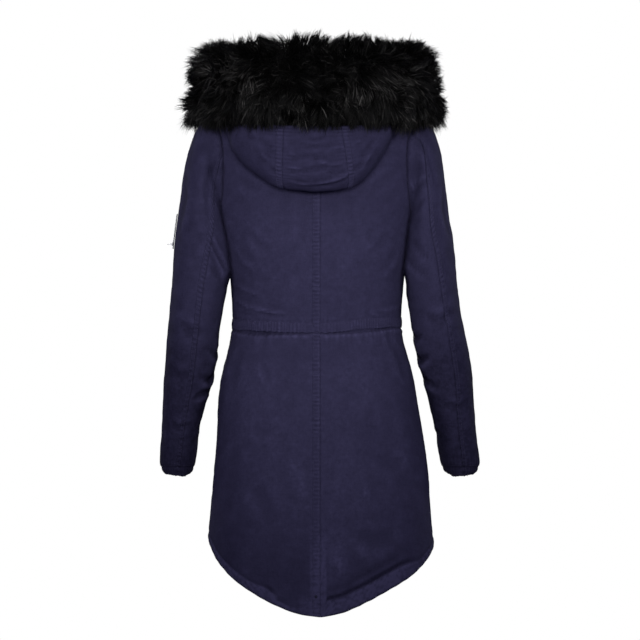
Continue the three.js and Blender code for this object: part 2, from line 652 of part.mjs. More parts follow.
// A point of the fur's outside, by its place along the fur and its angle round the section from
// straight down towards the outside of the loop. Out moves it further from the section's middle.
function furPoint(place, angle, out = 0) {
  const { middle, high, deep, lean, rest, fall } = furRow(place);
  const ahead = furRow(Math.min(place + 0.01, 1)).middle;
  const behind = furRow(Math.max(place - 0.01, 0)).middle;
  const outward = ahead.sub(behind).setZ(0).normalize().cross(at(0, 0, 1));
  const up = at(0, 0, 1).multiplyScalar(Math.cos(lean)).addScaledVector(outward, -Math.sin(lean));
  const across = outward.clone().multiplyScalar(Math.cos(lean));
  across.z += Math.sin(lean);
  const point = middle
    .clone()
    .addScaledVector(across, deep * power(Math.sin(angle), 2 / FUR_POWER))
    .addScaledVector(up, -high * power(Math.cos(angle), 2 / FUR_POWER));
  point.z = Math.max(point.z, rest - fall * point.clone().sub(middle).dot(outward));
  return point.addScaledVector(point.clone().sub(middle).normalize(), out);
}

function furGeometry() {
  const angles = Array.from({ length: FUR_SIDES }, (_, k) => (2 * Math.PI * k) / FUR_SIDES);
  const outline = angles.map((angle) => new THREE.Vector2(Math.sin(angle), -Math.cos(angle)));
  const loops = Array.from({ length: FUR_STEPS + 1 }, (_, step) =>
    angles.map((angle) => furPoint(step / FUR_STEPS, angle)),
  );
  return loft(loops, outline);
}

// A point of the hood's shell. Place runs from its left end in front round the back to its right
// end. Down runs from the neck seam at 0, along the jacket to the fold, and up to the fur at 1.
function hoodPoint(place, down) {
  const column = (name) => read(hoodFolds, "at", name, place);
  const neck = bodyPoint(radians(column("neck")), 0);
  const outward = neck.clone().setZ(0).normalize();
  const onJacket = (share) => {
    const turn = radians(mix(column("neck"), column("turn"), share));
    const { p, n } = bodyNode(turn, column("fold") * share);
    return p.addScaledVector(n, HOOD_STAND);
  };
  const thick = column("thick");
  const foldIn = onJacket(1);
  const away = bodyNode(radians(column("turn")), column("fold")).n;
  const bottom = foldIn.clone().addScaledVector(away, thick / 2);
  bottom.z -= thick * 0.38;
  const foldOut = foldIn.clone().addScaledVector(away, thick);
  const edge = furPoint(column("fur"), radians(column("meets")), 2);
  const bulge = foldOut.clone().lerp(edge, 0.5).addScaledVector(away, thick * 0.25);
  const path = [
    neck.clone().add(at(0, 0, HOOD_SEAM)),
    neck.clone().addScaledVector(outward, 2).add(at(0, 0, 8)),
    onJacket(0.22),
    onJacket(0.48),
    onJacket(0.74),
    foldIn,
    bottom,
    foldOut,
    bulge,
    edge,
  ];
  return new THREE.CatmullRomCurve3(path, false, "centripetal").getPoint(down);
}

// The jacket's upper body and all that it holds, as one solid.
function upperBodyGeometry() {
  const angles = Array.from({ length: 48 }, (_, k) => (2 * Math.PI * k) / 48);
  const outline = angles.map((angle) => new THREE.Vector2(Math.sin(angle), -Math.cos(angle)));
  return loft(UPPER_ROWS.map((height) => angles.map((angle) => bodyPoint(angle, height))), outline);
}

function addHood() {
  const grid = Array.from({ length: HOOD_ROWS + 1 }, (_, r) =>
    Array.from({ length: HOOD_COLUMNS + 1 }, (_, c) => {
      const [place, down] = [c / HOOD_COLUMNS, r / HOOD_ROWS];
      const inside = (value) => THREE.MathUtils.clamp(value, 0.002, 0.998);
      const n = normalOf(hoodPoint, inside(place), inside(down), 0.002, 0.002).negate();
      return { p: hoodPoint(place, down), n };
    }),
  );
  const room = grown(furGeometry(), 2 * SEAM_GAP).add(grown(upperBodyGeometry(), 2 * SEAM_GAP));
  const half = SEAM_GAP / 2;
  const addPanel = (name, from, to, trims) => {
    const panel = wall(grid.map((row) => row.slice(from, to + 1)), CLOTH, trims);
    add(name, toGeometry(toManifold(panel).subtract(room)), navy);
  };
  addPanel("hood_left", 0, HOOD_SEAM_LEFT, { last: half });
  addPanel("hood_centre", HOOD_SEAM_LEFT, HOOD_SEAM_RIGHT, { first: half, last: half });
  addPanel("hood_right", HOOD_SEAM_RIGHT, HOOD_COLUMNS, { first: half });
}

addBody();
addCasing();
addFrontZip();
addFrontSlider();
addSleeves();
addSleeveZip();
add("fur_trim", furGeometry(), blackFur);
addHood();

export default jacket;
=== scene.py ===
"""Looks of the hooded parka: worn, hollow, seen from behind. Built in millimetres and handed to
Blender in metres, in the frame of the CAD: +X wearer's left, +Y back, +Z up."""

import json
import math

import bpy
import numpy as np
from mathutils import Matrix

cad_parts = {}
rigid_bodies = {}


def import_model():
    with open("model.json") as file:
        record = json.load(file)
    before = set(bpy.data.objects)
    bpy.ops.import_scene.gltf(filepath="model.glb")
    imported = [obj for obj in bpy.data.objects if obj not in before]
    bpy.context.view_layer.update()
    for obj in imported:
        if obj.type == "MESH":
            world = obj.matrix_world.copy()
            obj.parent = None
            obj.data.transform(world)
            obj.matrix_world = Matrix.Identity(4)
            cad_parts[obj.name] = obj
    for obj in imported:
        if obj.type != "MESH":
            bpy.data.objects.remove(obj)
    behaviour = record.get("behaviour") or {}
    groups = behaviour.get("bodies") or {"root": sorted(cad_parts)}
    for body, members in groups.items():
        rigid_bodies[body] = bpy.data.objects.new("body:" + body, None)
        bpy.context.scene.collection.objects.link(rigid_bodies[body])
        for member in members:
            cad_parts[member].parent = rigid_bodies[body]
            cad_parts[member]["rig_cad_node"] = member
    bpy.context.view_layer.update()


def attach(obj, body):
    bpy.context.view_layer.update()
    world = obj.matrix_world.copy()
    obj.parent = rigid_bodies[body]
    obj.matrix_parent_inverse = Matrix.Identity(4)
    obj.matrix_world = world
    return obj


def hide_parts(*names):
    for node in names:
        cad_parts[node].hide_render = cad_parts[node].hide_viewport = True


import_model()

MM = 0.001
CLOTH = 3.0
SEAM_GAP = 0.3
HANDS = ("left", "right")
SIGN = {"left": 1.0, "right": -1.0}
TURN = 2 * math.pi

# ---------- tables of the CAD's surfaces, in millimetres ----------

# side, backZ, frontZ, left, right, back, front
BODY_RINGS = [
    (0, -18, -80, 90, 70, 66, 84),
    (-12, -27, -86, 116, 96, 75, 88),
    (-28, -39, -94, 152, 130, 83, 92),
    (-45, -53, -103, 196, 172, 90, 96),
    (-75, -80, -122, 199, 175, 99, 102),
    (-115, -118, -148, 199, 176, 107, 109),
    (-160, -161, -180, 196, 175, 114, 115),
    (-205, -205, -214, 188, 170, 118, 120),
    (-240, -240, -243, 179, 164, 119, 122),
    (-290, -290, -290, 169, 157, 115, 121),
    (-350, -350, -350, 162, 150, 107, 114),
    (-400, -400, -400, 159, 146, 100, 104),
    (-423, -423, -423, 158, 145, 98, 100),
    (-455, -455, -455, 163, 150, 101, 101),
    (-490, -490, -490, 171, 160, 108, 106),
    (-526, -526, -526, 179, 169, 116, 111),
    (-562, -562, -562, 184, 175, 122, 114),
    (-616, -616, -616, 188, 182, 127, 118),
    (-670, -670, -670, 192, 190, 130, 121),
    (-742, -742, -742, 197, 197, 132, 125),
    (-820, -820, -820, 203, 203, 133, 129),
    (-960, -960, -960, 207, 207, 134, 131),
]

# angle, left, right
HEM_LINE = [
    (0, -950, -950), (8, -945, -943), (20, -929, -924), (35, -904, -899), (50, -878, -877),
    (65, -850, -855), (80, -822, -834), (95, -806, -818), (120, -796, -802), (150, -789, -791),
    (180, -787, -787),
]

# outZ, inZ, leftOut, leftIn, rightOut, rightIn, half, back
SLEEVE_RINGS = [
    (-54, -247, 210, 179.2, 187, 164.8, 61, 1),
    (-74, -257, 223, 177, 202, 163.2, 65, 2),
    (-103, -269, 234, 174.6, 213, 161.5, 67, 3),
    (-140, -284, 243, 171.8, 220, 159.5, 68, 4),
    (-185, -304, 250, 168.6, 226, 157, 68, 5),
    (-232, -330, 257, 165.6, 231, 154, 66, 6),
    (-280, -360, 263, 168, 239, 153.6, 64, 7),
    (-335, -395, 267, 174, 244, 158, 62, 6),
    (-400, -435, 271, 181, 252, 164, 60, 3),
    (-466, -480, 278, 186, 265, 172, 57, -3),
    (-525, -531, 282, 195, 274, 186, 53, -13),
    (-575, -577, 284, 208, 277, 198, 49, -25),
    (-620, -621, 287, 218, 281, 208, 45, -38),
    (-656, -656, 290, 222, 286, 213, 42, -49),
    (-673, -673, 290, 225, 287, 216, 40, -54),
    (-688, -688, 286, 230, 283, 222, 35, -58),
    (-698, -698, 280, 236, 276, 230, 29, -60),
]

# at, x, y, z, high, deep, lean, rest, fall
FUR_STATIONS = [
    (0, 24, -126, -98, 16, 11, 0, -130, 0),
    (0.04, 44, -129, -92, 38, 25, 0, -140, 0),
    (0.16, 116, -118, -62, 56, 38, 6, -112, 0.8),
    (0.25, 170, -74, -22, 64, 45, 9, -58, 0.8),
    (0.32, 192, -18, 0, 74, 48, 12, -27, 1),
    (0.42, 146, 106, 6, 73, 46, 6, -72, 0.9),
    (0.53, 10, 146, 9, 78, 46, 0, -95, 1),
    (0.64, -124, 106, 8, 76, 46, 6, -72, 0.9),
    (0.74, -170, -18, 4, 76, 48, 12, -23, 1),
    (0.81, -150, -74, -20, 64, 45, 9, -56, 0.8),
    (0.86, -108, -118, -60, 56, 38, 6, -112, 0.8),
    (0.96, -38, -129, -92, 38, 25, 0, -140, 0),
    (1, -18, -126, -98, 16, 11, 0, -130, 0),
]

# at, neck, turn, fold, thick, fur, meets
HOOD_FOLDS = [
    (0, 172, 168, -16, 2, 0.04, -80),
    (0.12, 132, 132, -14, 2, 0.16, -80),
    (0.231, 90, 88, -20, 3, 0.29, -75),
    (0.28, 70, 68, -30, 6, 0.34, -50),
    (0.32, 56, 52, -66, 15, 0.375, -20),
    (0.36, 44, 43, -112, 26, 0.41, 0),
    (0.41, 28, 29, -150, 33, 0.455, 5),
    (0.46, 15, 16, -170, 37, 0.49, 8),
    (0.52, 0, 1, -176, 38, 0.53, 8),
    (0.58, -15, -13, -170, 36, 0.565, 8),
    (0.63, -28, -23, -150, 32, 0.6, 5),
    (0.68, -42, -33, -112, 25, 0.64, 0),
    (0.72, -56, -48, -64, 14, 0.675, -20),
    (0.765, -70, -66, -30, 6, 0.71, -50),
    (0.808, -90, -88, -20, 3, 0.74, -75),
    (0.9, -132, -132, -14, 2, 0.86, -80),
    (1, -172, -168, -16, 2, 0.96, -80),
]

# ---------- numbers over arrays ----------


def track(table, column=1):
    """A column of a table as a function of its first, by a cubic that never overshoots its rows."""
    table = np.array(sorted(table), float)
    x, y = table[:, 0], table[:, column]
    step = np.diff(x)
    slope = np.diff(y) / step
    before, after = slope[:-1], slope[1:]
    total = np.where(before * after > 0, before + after, 1)
    inner = np.where(before * after > 0, 2 * before * after / total, 0)
    tangent = np.concatenate([slope[:1], inner, slope[-1:]])

    def value(place):
        p = np.clip(place, x[0], x[-1])
        i = np.clip(np.searchsorted(x, p, side="left") - 1, 0, len(x) - 2)
        t = (p - x[i]) / step[i]
        u = 1 - t
        ends = y[i] * u * u * (1 + 2 * t) + y[i + 1] * t * t * (3 - 2 * t)
        return ends + step[i] * t * u * (tangent[i] * u - tangent[i + 1] * t)

    return value


def tracks(table, names):
    """A track for each named column after the table's first."""
    return {name: track(table, k + 1) for k, name in enumerate(names.split())}


def power(value, exponent):
    return np.sign(value) * np.abs(value) ** exponent


def mix(a, b, t):
    return a + (b - a) * t


def ramp(low, high, value):
    """0 below low and 1 above high, smoothly."""
    t = np.clip((value - low) / (high - low), 0, 1)
    return t * t * (3 - 2 * t)


def bump(value, middle, width):
    return np.exp(-(((value - middle) / width) ** 2))


def xyz(x, y, z):
    return np.stack(np.broadcast_arrays(x, y, z), axis=-1).astype(float)


def unit(v):
    return v / np.maximum(np.linalg.norm(v, axis=-1, keepdims=True), 1e-12)


def grid_of(rows, columns):
    """Two grids of values: one that changes from row to row, one from column to column."""
    return np.meshgrid(rows, columns, indexing="ij")


def turning(count):
    """Angles at an even pitch all the way round, without the last, which is the first again."""
    return np.linspace(0, TURN, count + 1)[:-1]


LATTICE = 32


def noise(points, size, seed):
    """Smooth noise from -1 to 1 at points, about as large as size."""
    table = np.random.RandomState(seed).uniform(-1, 1, (LATTICE,) * 3)
    p = np.asarray(points, float) / size + 7.3 + seed * 0.37
    base = np.floor(p).astype(int)
    f = p - base
    f = f * f * f * (f * (f * 6 - 15) + 10)
    total = 0
    for corner in np.ndindex(2, 2, 2):
        weight = np.where(corner, f, 1 - f).prod(-1)
        total = total + table[tuple(np.moveaxis((base + corner) % LATTICE, -1, 0))] * weight
    return total


def noise_line(s, size, seed):
    return noise(xyz(s, 0 * s, 0 * s), size, seed)


def puckers(s, length, seed, uneven=0.8):
    """Waves along a seam, uneven in length and height, from about -1 to 1."""
    turn = TURN * s / length + uneven * 2.2 * noise_line(s, length * 2.3, seed)
    return np.sin(turn) * (0.65 + 0.5 * noise_line(s, length * 3.1, seed + 1))


def crease(u, v, line, width, height):
    """A fold of the cloth along a line in the plane (u, v): a ridge or trough that fades at its
    ends, with a shallower opposite one beside it."""
    lengths = np.linalg.norm(np.diff(line, axis=0), axis=1)
    starts = np.concatenate([[0], np.cumsum(lengths)])
    nearest, side, along = np.full(u.shape, 1e9), np.zeros(u.shape), np.zeros(u.shape)
    for a, b, length, start in zip(line, line[1:], lengths, starts):
        direction = (b - a) / length
        du, dv = u - a[0], v - a[1]
        t = np.clip(du * direction[0] + dv * direction[1], 0, length)
        away = np.hypot(du - t * direction[0], dv - t * direction[1])
        closer = away < nearest
        nearest = np.where(closer, away, nearest)
        side = np.where(closer, direction[0] * dv - direction[1] * du, side)
        along = np.where(closer, (start + t) / starts[-1], along)
    taper = np.clip(4 * along * (1 - along), 0, 1) ** 0.6
    w = width * (0.55 + 0.45 * taper)
    signed = np.where(side < 0, -nearest, nearest)
    return height * taper * (bump(nearest, 0, w) - 0.45 * bump(signed, 1.7 * w, 1.1 * w))


def creases(folds, u, v, stretch=1.0, widths=4):
    """The folds of a table, each felt up to some of its widths above and below its line."""
    relief = np.zeros(u.shape)
    for width, height, *places in folds:
        line = np.reshape(places, (-1, 2)) * (stretch, 1.0)
        low, high = line[:, 1].min() - widths * width, line[:, 1].max() + widths * width
        near = (v > low) & (v < high)
        relief[near] += crease(u[near], v[near], line, width, height)
    return relief


# A hollow is painted darker as shade by the same amount for each millimetre that it sinks.
RELIEF_TONE = 0.42  # how much paler a ridge is rubbed for each millimetre that it stands out
RELIEF_REACH = 3  # rows and columns on each side that it is compared with


def rubbed_and_shaded(relief, least=-0.12):
    """The wear and painted shade of a grid of points from how far each stands above the cloth around
    it: ridges are rubbed paler, and hollows are painted darker as shade.
    """
    around, width = relief, 2 * RELIEF_REACH + 1
    for axis in (0, 1):
        pad = [(RELIEF_REACH + 1, RELIEF_REACH) if k == axis else (0, 0) for k in (0, 1)]
        total = np.cumsum(np.pad(around, pad, "edge"), axis=axis)
        size = total.shape[axis]
        high = np.take(total, np.arange(width, size), axis=axis)
        around = (high - np.take(total, np.arange(size - width), axis=axis)) / width
    return np.maximum(RELIEF_TONE * (relief - around), least)


# ---------- body ----------

BODY_POWER = 2.3
GIRTH = 2.9  # millimetres round the body for each degree of its angle
RING = tracks(BODY_RINGS, "backZ frontZ left right back front")
HEM = tracks(HEM_LINE, "left right")
SHOULDER_TIP, UNDERARM, ARMHOLE_POWER = -45.0, -240.0, 2.2
ARMHOLE_DEPTH = {"back": 58.0, "front": 54.0}
ARMHOLE_MIDDLE = (SHOULDER_TIP + UNDERARM) / 2
ARMHOLE_TALL = (SHOULDER_TIP - UNDERARM) / 2
CASING_TOP, CASING_BOTTOM = -416.0, -432.0
ZIP_EDGE = 3.6
SKIRT_TALL = 505  # from the casing to the tail, about


def body_point(angle, side):
    """A point of the body's outside, by its angle from the back centre to the wearer's left."""
    s, c = np.sin(angle), np.cos(angle)
    at_back = c >= 0
    reach = np.where(s >= 0, RING["left"](side), RING["right"](side))
    depth = np.where(at_back, RING["back"](side), RING["front"](side))
    centre = np.where(at_back, RING["backZ"](side), RING["frontZ"](side))
    z = mix(side, centre, np.abs(c) ** 1.5)
    return xyz(reach * power(s, 2 / BODY_POWER), depth * power(c, 2 / BODY_POWER), z)


def normal_of(surface, u, v, du, dv):
    across = surface(u + du, v) - surface(u - du, v)
    along = surface(u, v + dv) - surface(u, v - dv)
    return unit(np.cross(along, across))


def turned(normals, outward):
    """The normals, each turned round if it looks against the way outward."""
    return normals * np.where((normals * outward).sum(-1) < 0, -1, 1)[..., None]


def body_normal(angle, side):
    outward = body_point(angle, side) * (1, 1, 0)
    return turned(normal_of(body_point, angle, side, 1.5e-3, 0.5), outward)


def hem_height(angle):
    degrees = np.degrees(np.abs(angle))
    return np.where(np.sin(angle) >= 0, HEM["left"](degrees), HEM["right"](degrees))


def above_hem(angle, side):
    """The distance from the hem's edge, square to it."""
    step = 0.02
    ahead, behind = body_point(angle + step, side), body_point(angle - step, side)
    reach = np.maximum(np.linalg.norm((ahead - behind)[..., :2], axis=-1), 1e-6)
    slope = (hem_height(angle + step) - hem_height(angle - step)) / reach
    return (side - hem_height(angle)) / np.sqrt(1 + slope**2)


def hem_channel(degrees):
    """The width of the hem's channel: wider at the wearer's right of the tail."""
    wide = ramp(-62, -40, degrees) * (1 - ramp(-2.4, -0.9, degrees))
    low = ramp(9.5, 10.5, degrees) * (1 - ramp(19.4, 20.4, degrees))
    width = 14.0 + 14.5 * wide - 5.0 * low
    return width + 6.5 * bump(degrees, 25.5, 5.5) + 2 * bump(degrees, 42, 14)


def hem_parts(degrees):
    """Shares of the hem: its deep channel, its channel to the wearer's left, its flat middle."""
    deep = ramp(-60, -36, degrees) * (1 - ramp(-2.8, -1.2, degrees))
    left = ramp(9.6, 10.8, degrees) * (1 - ramp(70, 95, degrees))
    flat = ramp(-2.2, -0.8, degrees) * (1 - left) * (1 - ramp(30, 40, degrees))
    return deep, left, flat


def hem_notches(degrees, up):
    """The ends of the channel's two steps beside the tail: raised (+) and sunk (-)."""
    raised = bump(degrees, 11.6, 0.9) * (1 - ramp(12, 20, up))
    raised += bump(degrees, 20.6, 1.2) * bump(up, 10, 7)
    sunk = bump(degrees, 9.6, 1.1) * (1 - ramp(13, 20, up)) + bump(degrees, 23, 2.2) * bump(up, 21, 5)
    return raised - sunk


def hem_state(angle, side):
    """Degrees round, height above the hem, width of its channel, its shares and its gathers."""
    degrees, up = np.degrees(angle), above_hem(angle, side)
    drawn = puckers(degrees * GIRTH + 0.7 * up, 9, 31, 1.3)
    return degrees, up, hem_channel(degrees), hem_parts(degrees), drawn


# The casing sags a little in the middle of the back: degrees round, and how much it is moved.
CASING_SAG = track([
    (-180, 0), (-90, 2), (-60, 3), (-30, -2), (-15, -5), (0, -7), (15, -7), (40, -5), (70, -3),
    (110, 0), (180, 0),
])

# Patches that are paler (+) or darker (-): uneven dye, painted shade and painted light: X, Z, width,
# height, amount.
BACK_PATCHES = [
    (-36, -740, 34, 120, 0.16), (72, -690, 38, 70, 0.13), (103, -747, 24, 34, -0.06),
    (172, -790, 30, 150, -0.14), (-122, -688, 34, 24, -0.07), (-92, -806, 40, 28, -0.08),
    (-72, -872, 50, 26, -0.1), (95, -850, 64, 60, -0.14), (-150, -560, 40, 60, -0.1),
    (110, -560, 40, 50, 0.1), (-70, -520, 46, 50, 0.1), (96, -250, 60, 50, 0.08),
    (-60, -300, 50, 70, 0.08), (150, -330, 24, 60, -0.14), (-140, -330, 22, 60, -0.12),
    # The patch in the middle at Z -206 is painted shade under the hood, and those at X 154 and -150, Z
    # -290 are painted light in the hollows beside the armholes.
    (40, -350, 40, 40, 0.06), (-130, -900, 40, 40, -0.06), (0, -206, 120, 26, -0.19),
    (0, -476, 150, 22, -0.12), (154, -290, 14, 56, 0.2), (-150, -290, 14, 56, 0.2),
    (-26, -850, 24, 46, 0.34), (26, -924, 12, 12, 0.3), (60, -884, 50, 26, -0.12),
    (-112, -880, 40, 24, -0.1),
]
FRONT_PATCHES = [
    (60, -640, 40, 90, 0.14), (-80, -600, 36, 100, 0.13), (120, -720, 30, 40, -0.15),
    (-130, -700, 30, 50, -0.15), (90, -330, 50, 50, 0.1), (-70, -280, 50, 60, 0.1),
    (-140, -520, 40, 60, -0.1), (140, -560, 34, 70, -0.12),
]
PATCH_STRENGTH = 1.5


def shown(n):
    """Where the back is, with its folds and patches, and where the front is, with its own."""
    return (n[..., 1] > 0, BACK_FOLDS, BACK_PATCHES), (n[..., 1] <= 0, FRONT_FOLDS, FRONT_PATCHES)


def dye_and_painted_shade(p, n):
    """How much paler or darker points of the body are: uneven dye, painted shade and painted light, in
    patches.
    """
    tone = np.zeros(p.shape[:-1])
    for part, _, patches in shown(n):
        x, z = p[part][:, 0], p[part][:, 2]
        for middle_x, middle_z, wide, high, amount in patches:
            tone[part] += PATCH_STRENGTH * amount * bump(x, middle_x, wide) * bump(z, middle_z, high)
    return tone


# Folds: width and height, then across and up of each point of the fold's line.
BACK_FOLDS = [
    (3.4, 1.5, 158, -378, 130, -395, 84, -405, 62, -406), (4.0, 0.9, 160, -352, 128, -366, 96, -378),
    (2.6, 0.8, 150, -398, 112, -408), (3.0, 0.9, -86, -404, -104, -412),
    (3.5, 0.8, -146, -392, -118, -400, -92, -398), (5.0, -1.3, 107, -496, 99, -512, 93, -530),
    (9.0, -1.0, 122, -612, 104, -622, 86, -620), (4.0, -0.8, -88, -712, -91, -728, -95, -744),
    (4.0, 0.7, -80, -716, -83, -736), (16.0, -2.2, -66, -800, -96, -812, -132, -806),
    (15.0, -1.7, 118, -716, 98, -748, 84, -784), (13.0, -1.5, -100, -662, -128, -676, -150, -672),
    (18.0, 1.3, 60, -664, 38, -700, 30, -742), (13.0, 1.4, -30, -838, -40, -876),
    (14.0, -1.2, 150, -640, 160, -700, 168, -770), (15.0, -1.2, -158, -560, -168, -620, -176, -700),
    (8.0, -1.3, 140, -470, 152, -500, 158, -540), (8.0, -1.2, -132, -462, -146, -492, -154, -524),
    (7.0, -0.9, 128, -260, 112, -282, 92, -296), (7.0, -0.9, -124, -258, -106, -284, -84, -300),
    (6.0, 0.9, 152, -286, 138, -312, 116, -330), (6.0, 0.8, -142, -292, -130, -322, -112, -342),
    (8.0, -0.8, 148, -160, 128, -176, 104, -182), (8.0, -0.8, -132, -150, -112, -170, -90, -178),
    (4.0, -0.8, 60, -430, 56, -452), (4.0, 0.7, 22, -432, 24, -458), (4.0, -0.8, -34, -431, -38, -456),
    (4.5, -0.9, -72, -432, -80, -464), (5.0, -1.0, 98, -431, 104, -466),
    (5.0, -1.0, -118, -432, -130, -470),
]
FRONT_FOLDS = [
    (8.0, -1.6, 140, -250, 112, -280, 80, -296), (8.0, -1.7, -130, -246, -104, -278, -74, -292),
    (7.0, 1.3, 146, -288, 122, -322, 96, -344), (6.5, 1.2, -136, -296, -112, -334, -88, -352),
    (4.0, 1.3, 132, -386, 104, -402, 70, -408), (4.0, 1.4, -128, -378, -96, -398, -62, -404),
    (6.0, -0.9, 44, -360, 30, -388, 20, -408), (6.0, -0.8, -36, -344, -28, -380, -18, -404),
    (8.0, -1.6, 124, -440, 136, -480, 142, -530), (8.0, -1.5, -116, -440, -130, -486, -138, -540),
    (6.0, -1.1, 70, -440, 76, -476), (6.0, -1.0, -62, -442, -66, -482), (5.0, 0.8, 30, -438, 34, -462),
    (5.0, 0.8, -30, -438, -34, -466), (18.0, 1.5, 52, -560, 44, -640, 48, -700),
    (19.0, -1.5, -58, -580, -50, -650, -56, -720), (16.0, -1.5, 150, -600, 160, -680, 162, -740),
    (16.0, 1.4, -150, -590, -158, -660, -166, -730), (15.0, -1.4, 106, -640, 96, -700, 92, -750),
    (14.0, 1.2, -108, -650, -98, -700, -90, -760), (9.0, -1.2, 120, -150, 96, -172, 70, -180),
    (9.0, -1.1, -112, -146, -88, -170, -64, -182), (12.0, 0.9, 26, -200, 22, -260, 26, -310),
    (12.0, 0.9, -28, -210, -24, -270, -26, -330),
]

BODY_CREASING, SLEEVE_CREASING, HOOD_CREASING = 1.7, 2.1, 1.6  # how strongly each is folded


def back_ladder(z, uneven=1.3):
    """The puckers down the middle of the back."""
    return puckers(z, 7.3, 41, uneven)


def casing_gathers(girth):
    """The gathers that hang from the casing."""
    return puckers(girth, 10.5, 21, 1.2)


def casing_slack(girth):
    """The uneven hollow right under the casing."""
    return puckers(girth, 13, 22)


def casing_relief(angle, z):
    """The drawn-in casing gathers the cloth on both sides of it."""
    girth = np.degrees(angle) * GIRTH
    sag = CASING_SAG(np.degrees(angle))
    below, above = CASING_BOTTOM + sag - z, z - CASING_TOP - sag
    under = np.where(below > -8, np.exp(-np.clip(below, 0, None) / 13), 0)
    over = np.where(above > -8, np.exp(-np.clip(above, 0, None) / 8), 0)
    relief = 1.3 * under * casing_gathers(girth) + 0.9 * over * puckers(girth, 8.5, 24, 1.2)
    slack = 2.4 * bump(girth, 128, 52) + 1.2 * bump(girth, -112, 56)
    facing_back = 0.35 + 0.65 * ramp(0.2, 0.6, np.abs(np.cos(angle)))
    under_edge = 2.4 + 1.5 * casing_slack(girth) + noise_line(girth, 50, 26) + slack
    relief -= facing_back * under_edge * bump(below, 2.6 + slack, 2.6 + slack)
    relief += (0.9 + 0.7 * puckers(girth, 17, 23)) * bump(below, 8, 4)
    return relief - (0.5 + 0.4 * puckers(girth, 12, 25)) * bump(above, 2, 2.4)


def hem_relief(angle, side):
    """The hem is turned up and stitched, and its channel is fuller than the cloth above."""
    degrees, up, channel, (deep, _, flat), drawn = hem_state(angle, side)
    relief = (0.8 + 1.1 * deep) * bump(up, channel + 9, 7.5) * (0.35 + deep)
    relief -= (0.5 + 1.9 * deep) * (1 - 0.9 * flat) * bump(up, channel, 2.2 + 2.4 * deep)
    inside = ramp(0, 4, up) * (1 - ramp(channel - 5, channel - 1, up))
    relief += inside * (0.9 + 0.4 * puckers(degrees * GIRTH, 13, 27) + 0.7 * deep) * (1 - flat)
    relief += (0.5 * inside + 0.4 * bump(up, channel - 2, 4.5)) * drawn * (1 - 0.7 * flat)
    return relief + 1.3 * hem_notches(degrees, up)


def body_relief(p, n, angle, side):
    """How far the cloth of the body stands out of the smooth form, in millimetres."""
    x, z = p[..., 0], p[..., 2]
    facing = ramp(0.05, 0.45, np.abs(n[..., 1]))
    relief = casing_relief(angle, z) + hem_relief(angle, side)
    for part, folds, _ in shown(n):
        relief[part] += BODY_CREASING * creases(folds, x[part], z[part]) * facing[part]
    skirt = ramp(-450, -640, side)
    relief += (0.8 + 1.6 * skirt) * noise(p * (1, 1, 0.62), 74, 3)
    relief += (0.5 + 0.5 * skirt) * noise(p * (1, 1, 0.8), 37, 5)
    relief += 0.42 * noise(p * (1, 1, 1.2), 17, 8) + 0.2 * noise(p * (1.2, 1, 1), 8.5, 9)
    # Below the armholes the back fills out to meet the sleeves.
    back = n[..., 1] > 0
    beside = ramp(-322, -350, z) - ramp(-180, -215, z)
    relief -= 3.5 * bump(np.abs(x), 173, 14) * beside * back
    # The seam in the middle of the back is felled towards the wearer's left.
    relief += 0.45 * back_ladder(z) * bump(x, 8, 13) * back
    return relief - (0.3 * bump(x, -0.3, 1.3) + 0.12 * bump(x, 16, 2.5)) * back


def on_body(angle, side):
    """Points and normals of the finished outside of the body."""
    p, n = body_point(angle, side), body_normal(angle, side)
    return p + n * body_relief(p, n, angle, side)[..., None], n


def edge_angle(half, height):
    """The angle of the armhole's edge, or of the side seam above and below it, at a height."""
    up = np.clip(np.abs(height - ARMHOLE_MIDDLE) / ARMHOLE_TALL, 0, 1)
    reach = ARMHOLE_DEPTH[half] * (1 - up**ARMHOLE_POWER) ** (1 / ARMHOLE_POWER)
    return np.arccos(np.clip(reach / RING[half](height), 0, 1) ** (BODY_POWER / 2))


def inset_angle(hand, height, x):
    """The angle at which the body lies x to one side of its middle, at a height."""
    return np.arcsin((x / RING[hand](height)) ** (BODY_POWER / 2))


# ---------- sleeves ----------

SLEEVE_POWER = 2.2
SLEEVE = tracks(
    [(k + 1, *row) for k, row in enumerate(SLEEVE_RINGS)],
    "outZ inZ leftOut leftIn rightOut rightIn half back",
)
SLEEVE_END = float(len(SLEEVE_RINGS))
SLEEVE_SEED = {"left": 50, "right": 60}


def sleeve_ends(hand, t):
    """The outer and inner end of the sleeve's section: its X and its Z at each."""
    out_x, in_x = (SIGN[hand] * SLEEVE[hand + end](t) for end in ("Out", "In"))
    return out_x, in_x, SLEEVE["outZ"](t), SLEEVE["inZ"](t)


def sleeve_ring(hand, t, phi):
    """A point of the sleeve at ring t, by the angle round it: 0 outside, then by the back."""
    out_x, in_x, out_z, in_z = sleeve_ends(hand, t)
    c, s = power(np.cos(phi), 2 / SLEEVE_POWER), power(np.sin(phi), 2 / SLEEVE_POWER)
    x = (out_x + in_x) / 2 + (out_x - in_x) / 2 * c
    z = (out_z + in_z) / 2 + (out_z - in_z) / 2 * c
    return xyz(x, SLEEVE["back"](t) + SLEEVE["half"](t) * s, z)


def armhole_place(hand, phi):
    """Angle and height of the armhole's edge by the angle round it: 0 at the shoulder."""
    c, s = np.abs(np.cos(phi)), np.sin(phi)
    radius = ARMHOLE_TALL / (c**ARMHOLE_POWER + np.abs(s) ** ARMHOLE_POWER) ** (1 / ARMHOLE_POWER)
    height = ARMHOLE_MIDDLE + radius * np.cos(phi)
    back = edge_angle("back", height)
    front = math.pi - edge_angle("front", height)
    return SIGN[hand] * np.where(s >= 0, back, front), height


